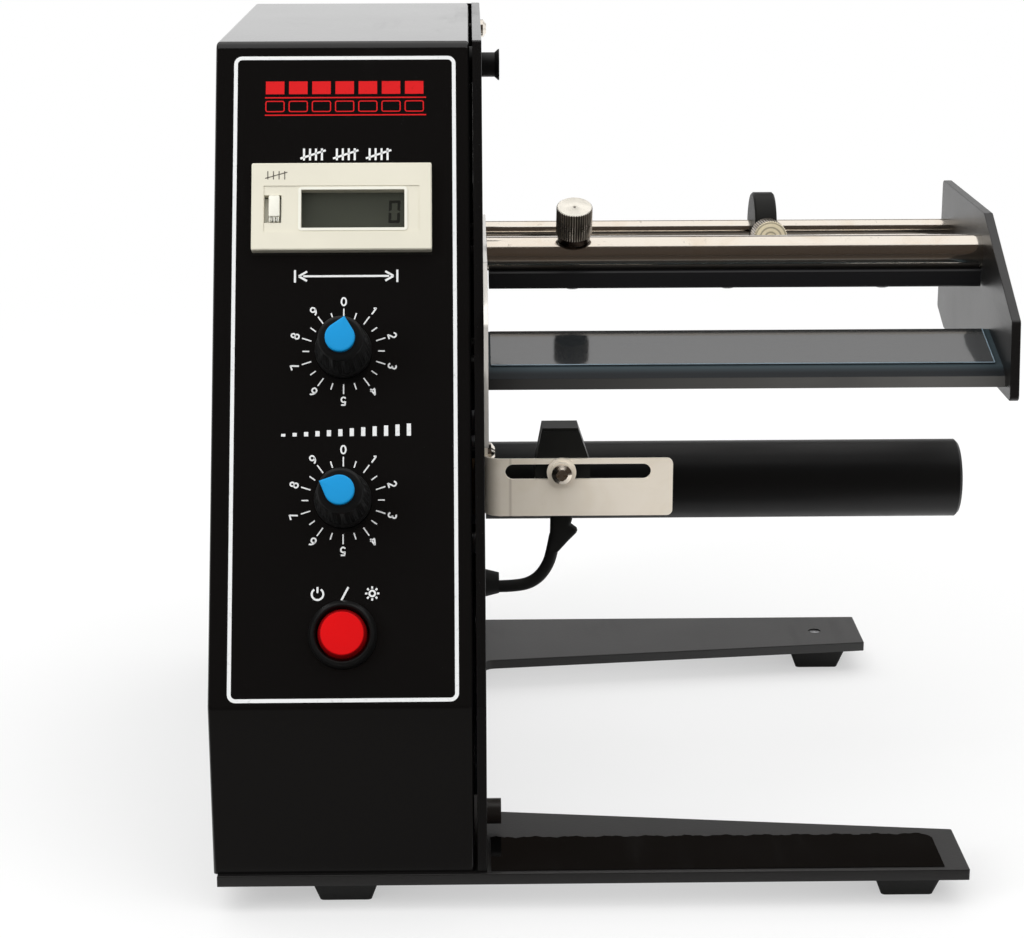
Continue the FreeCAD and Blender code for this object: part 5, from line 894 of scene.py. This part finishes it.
def display_digit():
    """A seven-bar nought at the right of the display, each bar a slab with slanted ends."""
    wide, high, bar, gap, slant = 3.1, 6.3, 0.8, 0.07, 0.04
    centre = np.array([48.25, 132.2])
    half = np.array([wide / 2, high / 2])
    strips = []
    for side in (-1, 1):
        up = side * half[1]
        outer = np.array([[-half[0] + gap, up], [half[0] - gap, up]])
        inner = np.array([[-half[0] + bar + gap, up - side * bar],
                          [half[0] - bar - gap, up - side * bar]])
        strips.append((outer, inner))
        for end in (-1, 1):
            x = side * half[0]
            y0, y1 = sorted((end * gap, end * (half[1] - gap)))
            outer = np.array([[x, y0], [x, y1]])
            inner = np.array([[x - side * bar, y0 + bar * 0.5], [x - side * bar, y1 - bar * 0.5]])
            strips.append((outer, inner))
    moved = []
    for outer, inner in strips:
        both = np.stack([outer, inner])
        both[..., 0] += slant * both[..., 1]
        moved.append(both + centre)
    place_strips("display_digit", moved, LCD_DARK, -0.09, -0.05)


def cable_line(steps=72):
    """The cable's centre line from the grommet to the boot: the route's points as a smooth
    curve of second order, evaluated as overlapping quadratic pieces."""
    route = np.array([(3.4, 60.15), (9.8, 60.15), (14.6, 62.1), (17.7, 66.4), (18.9, 71.0),
                      (19.6, 75.0)])
    middles = (route[1:-2] + route[2:-1]) / 2
    starts = np.concatenate([route[:1], middles])
    ends = np.concatenate([middles, route[-1:]])
    share = np.linspace(0, 1, steps // len(starts))[None, :, None]
    curve = (1 - share) ** 2 * starts[:, None] + 2 * share * (1 - share) * route[1:-1, None]
    curve = (curve + share ** 2 * ends[:, None]).reshape(-1, 2)
    keep = np.concatenate([[True], np.linalg.norm(np.diff(curve, axis=0), axis=1) > 1e-6])
    return curve[keep]


def sensor_cable():
    """Round cable along its line, which stretches between the grommet and the sensor: a circle
    carried along it, square to it."""
    middle = cable_line()
    along = np.gradient(middle, axis=0)
    along /= np.linalg.norm(along, axis=1, keepdims=True)
    turn = np.linspace(0, 2 * math.pi, 24, endpoint=False)[None, :]
    side = np.stack([-along[:, 1], along[:, 0]], axis=1)
    x = WALL_FACE + middle[:, :1] + LEAD_RADIUS * np.cos(turn) * side[:, :1]
    z = middle[:, 1:] + LEAD_RADIUS * np.cos(turn) * side[:, 1:]
    y = LEAD_BACK + LEAD_RADIUS * np.sin(turn) + 0 * x
    points = to_row(np.stack([x, y, z], axis=-1))
    piece = outward(add_piece("sensor_lead", points, tube_faces(len(middle), 24), RUBBER, "root"))
    piece.parent = None
    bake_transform(piece)
    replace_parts(piece, "sensor_cable")


def sensor_boot():
    """Boot below the sensor: its left and right edges follow the heights, and each level is a
    rounded rectangle, a superellipse."""
    heights = np.linspace(83.9, 70.6, 48)
    left = np.interp(-heights, [-83.9, -78.0, -74.7, -72.6, -70.6], [18.25, 18.2, 18.1, 17.6, 17.2])
    right = np.interp(-heights, [-83.9, -79.8, -78.2, -76.7, -76.0, -73.6, -70.6],
                      [24.5, 24.3, 23.8, 25.8, 25.5, 23.2, 20.6])
    thick = np.interp(-heights, [-83.9, -76.0, -70.6], [2.5, 2.4, 1.75])
    turn = np.linspace(0, 2 * math.pi, 40, endpoint=False)[None, :]
    power = 0.45
    cosine = np.sign(np.cos(turn)) * np.abs(np.cos(turn)) ** power
    sine = np.sign(np.sin(turn)) * np.abs(np.sin(turn)) ** power
    middle, half = (left + right)[:, None] / 2, (right - left)[:, None] / 2
    points = np.stack([WALL_FACE + middle + half * cosine, LEAD_BACK + thick[:, None] * sine,
                       heights[:, None] + 0 * cosine], axis=-1)
    piece = add_piece("sensor_lead_boot", to_row(points), tube_faces(len(heights), 40), RUBBER,
                      "sensor_unit")
    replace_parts(outward(piece), "sensor_boot")


def film_edges():
    """The clear sheet's cut edges, which catch the light: a thin bead along its front and one
    along its right end, each a narrow diamond carried along the edge."""
    low, high = np.array(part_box("peel_film")) / MM - SHIFT
    front, rear, top, half = 0.7, 19.8, 0.5, 0.16
    steps, end_steps = 80, 24
    ring = np.array([(1, 0), (0, 1), (-1, 0), (0, -1)]) * half

    def on_sheet(x, s, n):
        x, s, n = np.broadcast_arrays(x, s, n)
        y = PEEL_TOP_FRONT[0] + s * math.cos(PEEL_SLOPE) - n * math.sin(PEEL_SLOPE)
        z = PEEL_TOP_FRONT[1] + s * math.sin(PEEL_SLOPE) + n * math.cos(PEEL_SLOPE)
        return np.stack([x, y, z], axis=-1)

    across = np.linspace(low[0] + 0.1, high[0] - 0.1, steps)[:, None]
    first = on_sheet(across, front + ring[None, :, 0], top + ring[None, :, 1])
    deep = np.linspace(front, rear, end_steps)[:, None]
    second = on_sheet(high[0] + ring[None, :, 0], deep, top + ring[None, :, 1])
    points = np.concatenate([first.reshape(-1, 3), second.reshape(-1, 3)])
    faces = tube_faces(steps, 4) + tube_faces(end_steps, 4, steps * 4)
    piece = outward(add_piece("film_edges", to_row(points), faces, FILM_EDGE, "root"))


def leg_film():
    """Glossy black sheet left on the front leg. Its rear edge is a straight line plus three
    sines, and a quarter circle at its right end."""
    across = np.linspace(SHEET_LEFT, SHEET_RIGHT, 160)
    wave = (0.35 * np.sin(across * 0.61) + 0.25 * np.sin(across * 1.7 + 1.0)
            + 0.15 * np.sin(across * 4.3 + 2.0))
    corner = np.clip((across - SHEET_RIGHT + SHEET_CORNER) / SHEET_CORNER, 0, 1)
    rear = SHEET_REAR + wave - SHEET_CORNER * (1 - np.sqrt(1 - corner ** 2 * 0.999))
    front = np.full_like(across, SHEET_FRONT)
    y = np.stack([front, rear, rear, front], axis=1)
    z = np.array([SHEET_LOW, SHEET_LOW, SHEET_TOP, SHEET_TOP]) + 0 * y
    points = np.stack([across[:, None] + 0 * y, y, z], axis=-1)
    piece = add_piece("leg_gloss_sheet", to_row(points), tube_faces(len(across), 4), LEG_FILM,
                      "root")
    outward(piece)


# Stage, light and camera

def stage():
    """Pale floor that keeps the shadow near the machine, lightened by painted light right under
    its middle, and fades to the white background. What lies in front of the machine is dark to
    reflections."""
    mesh = bpy.data.meshes.new("floor")
    reach = 4.0
    corners = [(-reach, -reach, 0), (reach, -reach, 0), (reach, reach, 0), (-reach, reach, 0)]
    mesh.from_pydata(corners, [], [[0, 1, 2, 3]])
    floor = bpy.data.objects.new("floor", mesh)
    bpy.context.scene.collection.objects.link(floor)
    material, paint = new_paint("floor_white")
    tint = paint.grain(3.0, 2.0, 0.5)
    seen = paint.node("LightPath", output="Is Camera Ray")
    back = paint.axes(paint.place())[1]
    front = (1.0 - back.step(-0.130, -0.105)) * (1.0 - seen)
    near = back.step(-0.40, -0.20)
    base = paint.mix(tint, rgb(0.83, 0.83, 0.825), rgb(0.81, 0.81, 0.81))
    dim = paint.mix(near, rgb(0.038, 0.028, 0.021), rgb(0.105, 0.097, 0.09))
    base = paint.mix(front, base, dim)
    matt = paint.node("BsdfPrincipled", inputs={"Base Color": base, "Roughness": 0.7,
                                                "Specular IOR Level": 0.2})
    white = paint.node("Emission", inputs={"Color": rgb(1, 1, 1), "Strength": 1.0})
    distance = paint.node("VectorMath", {"operation": "LENGTH"}, {0: paint.place()},
                          output="Value")
    # Painted light: more white glow right under the machine lightens its shadow there.
    inner = 0.3 * (1.0 - distance.step(0.03, 0.16))
    share = (0.40 + 0.60 * distance.step(0.25, 0.75) + inner) * seen
    surface = paint.node("MixShader", inputs={0: share, 1: matt, 2: white})
    paint.node("OutputMaterial", inputs={"Surface": surface})
    mesh.materials.append(material)


def world():
    """White to the camera. Gloss sees a white backdrop low behind and a dim brown room
    elsewhere. Matt surfaces get more light from the front than from behind."""
    sky = bpy.data.worlds.new("studio")
    bpy.context.scene.world = sky
    sky.use_nodes = True
    paint = Paint(sky.node_tree)
    toward = paint.node("TexCoord", output="Generated")
    back, up = paint.axes(toward)[1:]
    behind = back.step(-0.25, 0.25)
    low = 1.0 - up.step(0.28, 0.40)
    ray = paint.node("LightPath", output="Is Camera Ray")
    outs = ray.socket.node.outputs
    glossy, through = Flow(paint, outs["Is Glossy Ray"]), Flow(paint, outs["Is Transmission Ray"])
    room = paint.mix(behind * low, rgb(0.045, 0.034, 0.027), rgb(1, 1, 1))
    front = (1.0 - back.step(-0.5, 0.1)) * up.step(-0.05, 0.1)
    fill = paint.mix(front, rgb(0.55, 0.55, 0.55), rgb(1.3, 1.3, 1.3))
    mirrored = paint.mix(glossy + through, fill, room)
    colour = paint.mix(ray, mirrored, rgb(1, 1, 1))
    light = paint.node("Background", inputs={"Color": colour, "Strength": 1.0})
    paint.node("OutputWorld", inputs={"Surface": light})


def lamp(name, energy, wide, deep, position, target, shine=True):
    """A rectangular soft light aimed at a point, with or without its own shine on gloss."""
    data = bpy.data.lights.new(name, "AREA")
    data.energy = energy
    data.shape = "RECTANGLE"
    data.size = wide
    data.size_y = deep
    light = bpy.data.objects.new(name, data)
    bpy.context.scene.collection.objects.link(light)
    light.location = position
    aim = Vector(target) - Vector(position)
    light.rotation_mode = "QUATERNION"
    light.rotation_quaternion = aim.to_track_quat("-Z", "Y")
    light.visible_camera = False
    light.visible_glossy = shine


def lights():
    """One large soft box above and a weaker one from the left front."""
    lamp("overhead", 16.5, 2.4, 2.1, (0.0, 0.37, 1.25), (0.0, 0.37, 0.0))
    lamp("left_front", 7.0, 0.45, 0.8, (-1.2, -0.9, 0.75), (0, 0, 0.1), False)


def camera():
    """The camera fitted to the photograph."""
    yaw, pitch, roll = map(math.radians, (CAMERA_YAW, CAMERA_PITCH, CAMERA_ROLL))
    ahead = Vector((math.sin(yaw) * math.cos(pitch), math.cos(yaw) * math.cos(pitch),
                    -math.sin(pitch)))
    level = Vector((math.cos(yaw), -math.sin(yaw), 0))
    above = level.cross(ahead)
    right = level * math.cos(roll) + above * math.sin(roll)
    up = above * math.cos(roll) - level * math.sin(roll)
    data = bpy.data.cameras.new("camera")
    data.sensor_width = FILM_WIDTH
    data.sensor_fit = "HORIZONTAL"
    data.lens = FOCAL_PIXELS * FILM_WIDTH / PHOTO_WIDTH
    data.clip_start, data.clip_end = 0.01, 50.0
    seat = bpy.data.objects.new("camera", data)
    bpy.context.scene.collection.objects.link(seat)
    turned = Matrix((right, up, -ahead)).transposed().to_4x4()
    seat.matrix_world = Matrix.Translation(CAMERA_PLACE) @ turned
    bpy.context.scene.camera = seat


camera()
paint_nodes()
panel_border()
for dial_name, dial_place, dial_pointer in DIALS:
    dial_ticks(dial_name, dial_place)
    dial_numbers(dial_name, dial_place)
    knob(dial_name, dial_place, dial_pointer)
push_button()
counter_mark()
length_mark()
speed_mark()
power_mark()
red_emblem()
display_frame()
reset_slider()
display_digit()
thumb_screw("rod_screw_head", ROD_THUMB, 5.0, ROD_HEAD, "rod_thumb_screw", "rod_lock")
thumb_screw("disc_screw_head", DISC_THUMB, 7.8, DISC_HEAD, "guide_thumb_screw", "disc_lock")
sensor_cable()
sensor_boot()
film_edges()
leg_film()
stage()
world()
lights()
bpy.context.scene.view_settings.view_transform = "Standard"
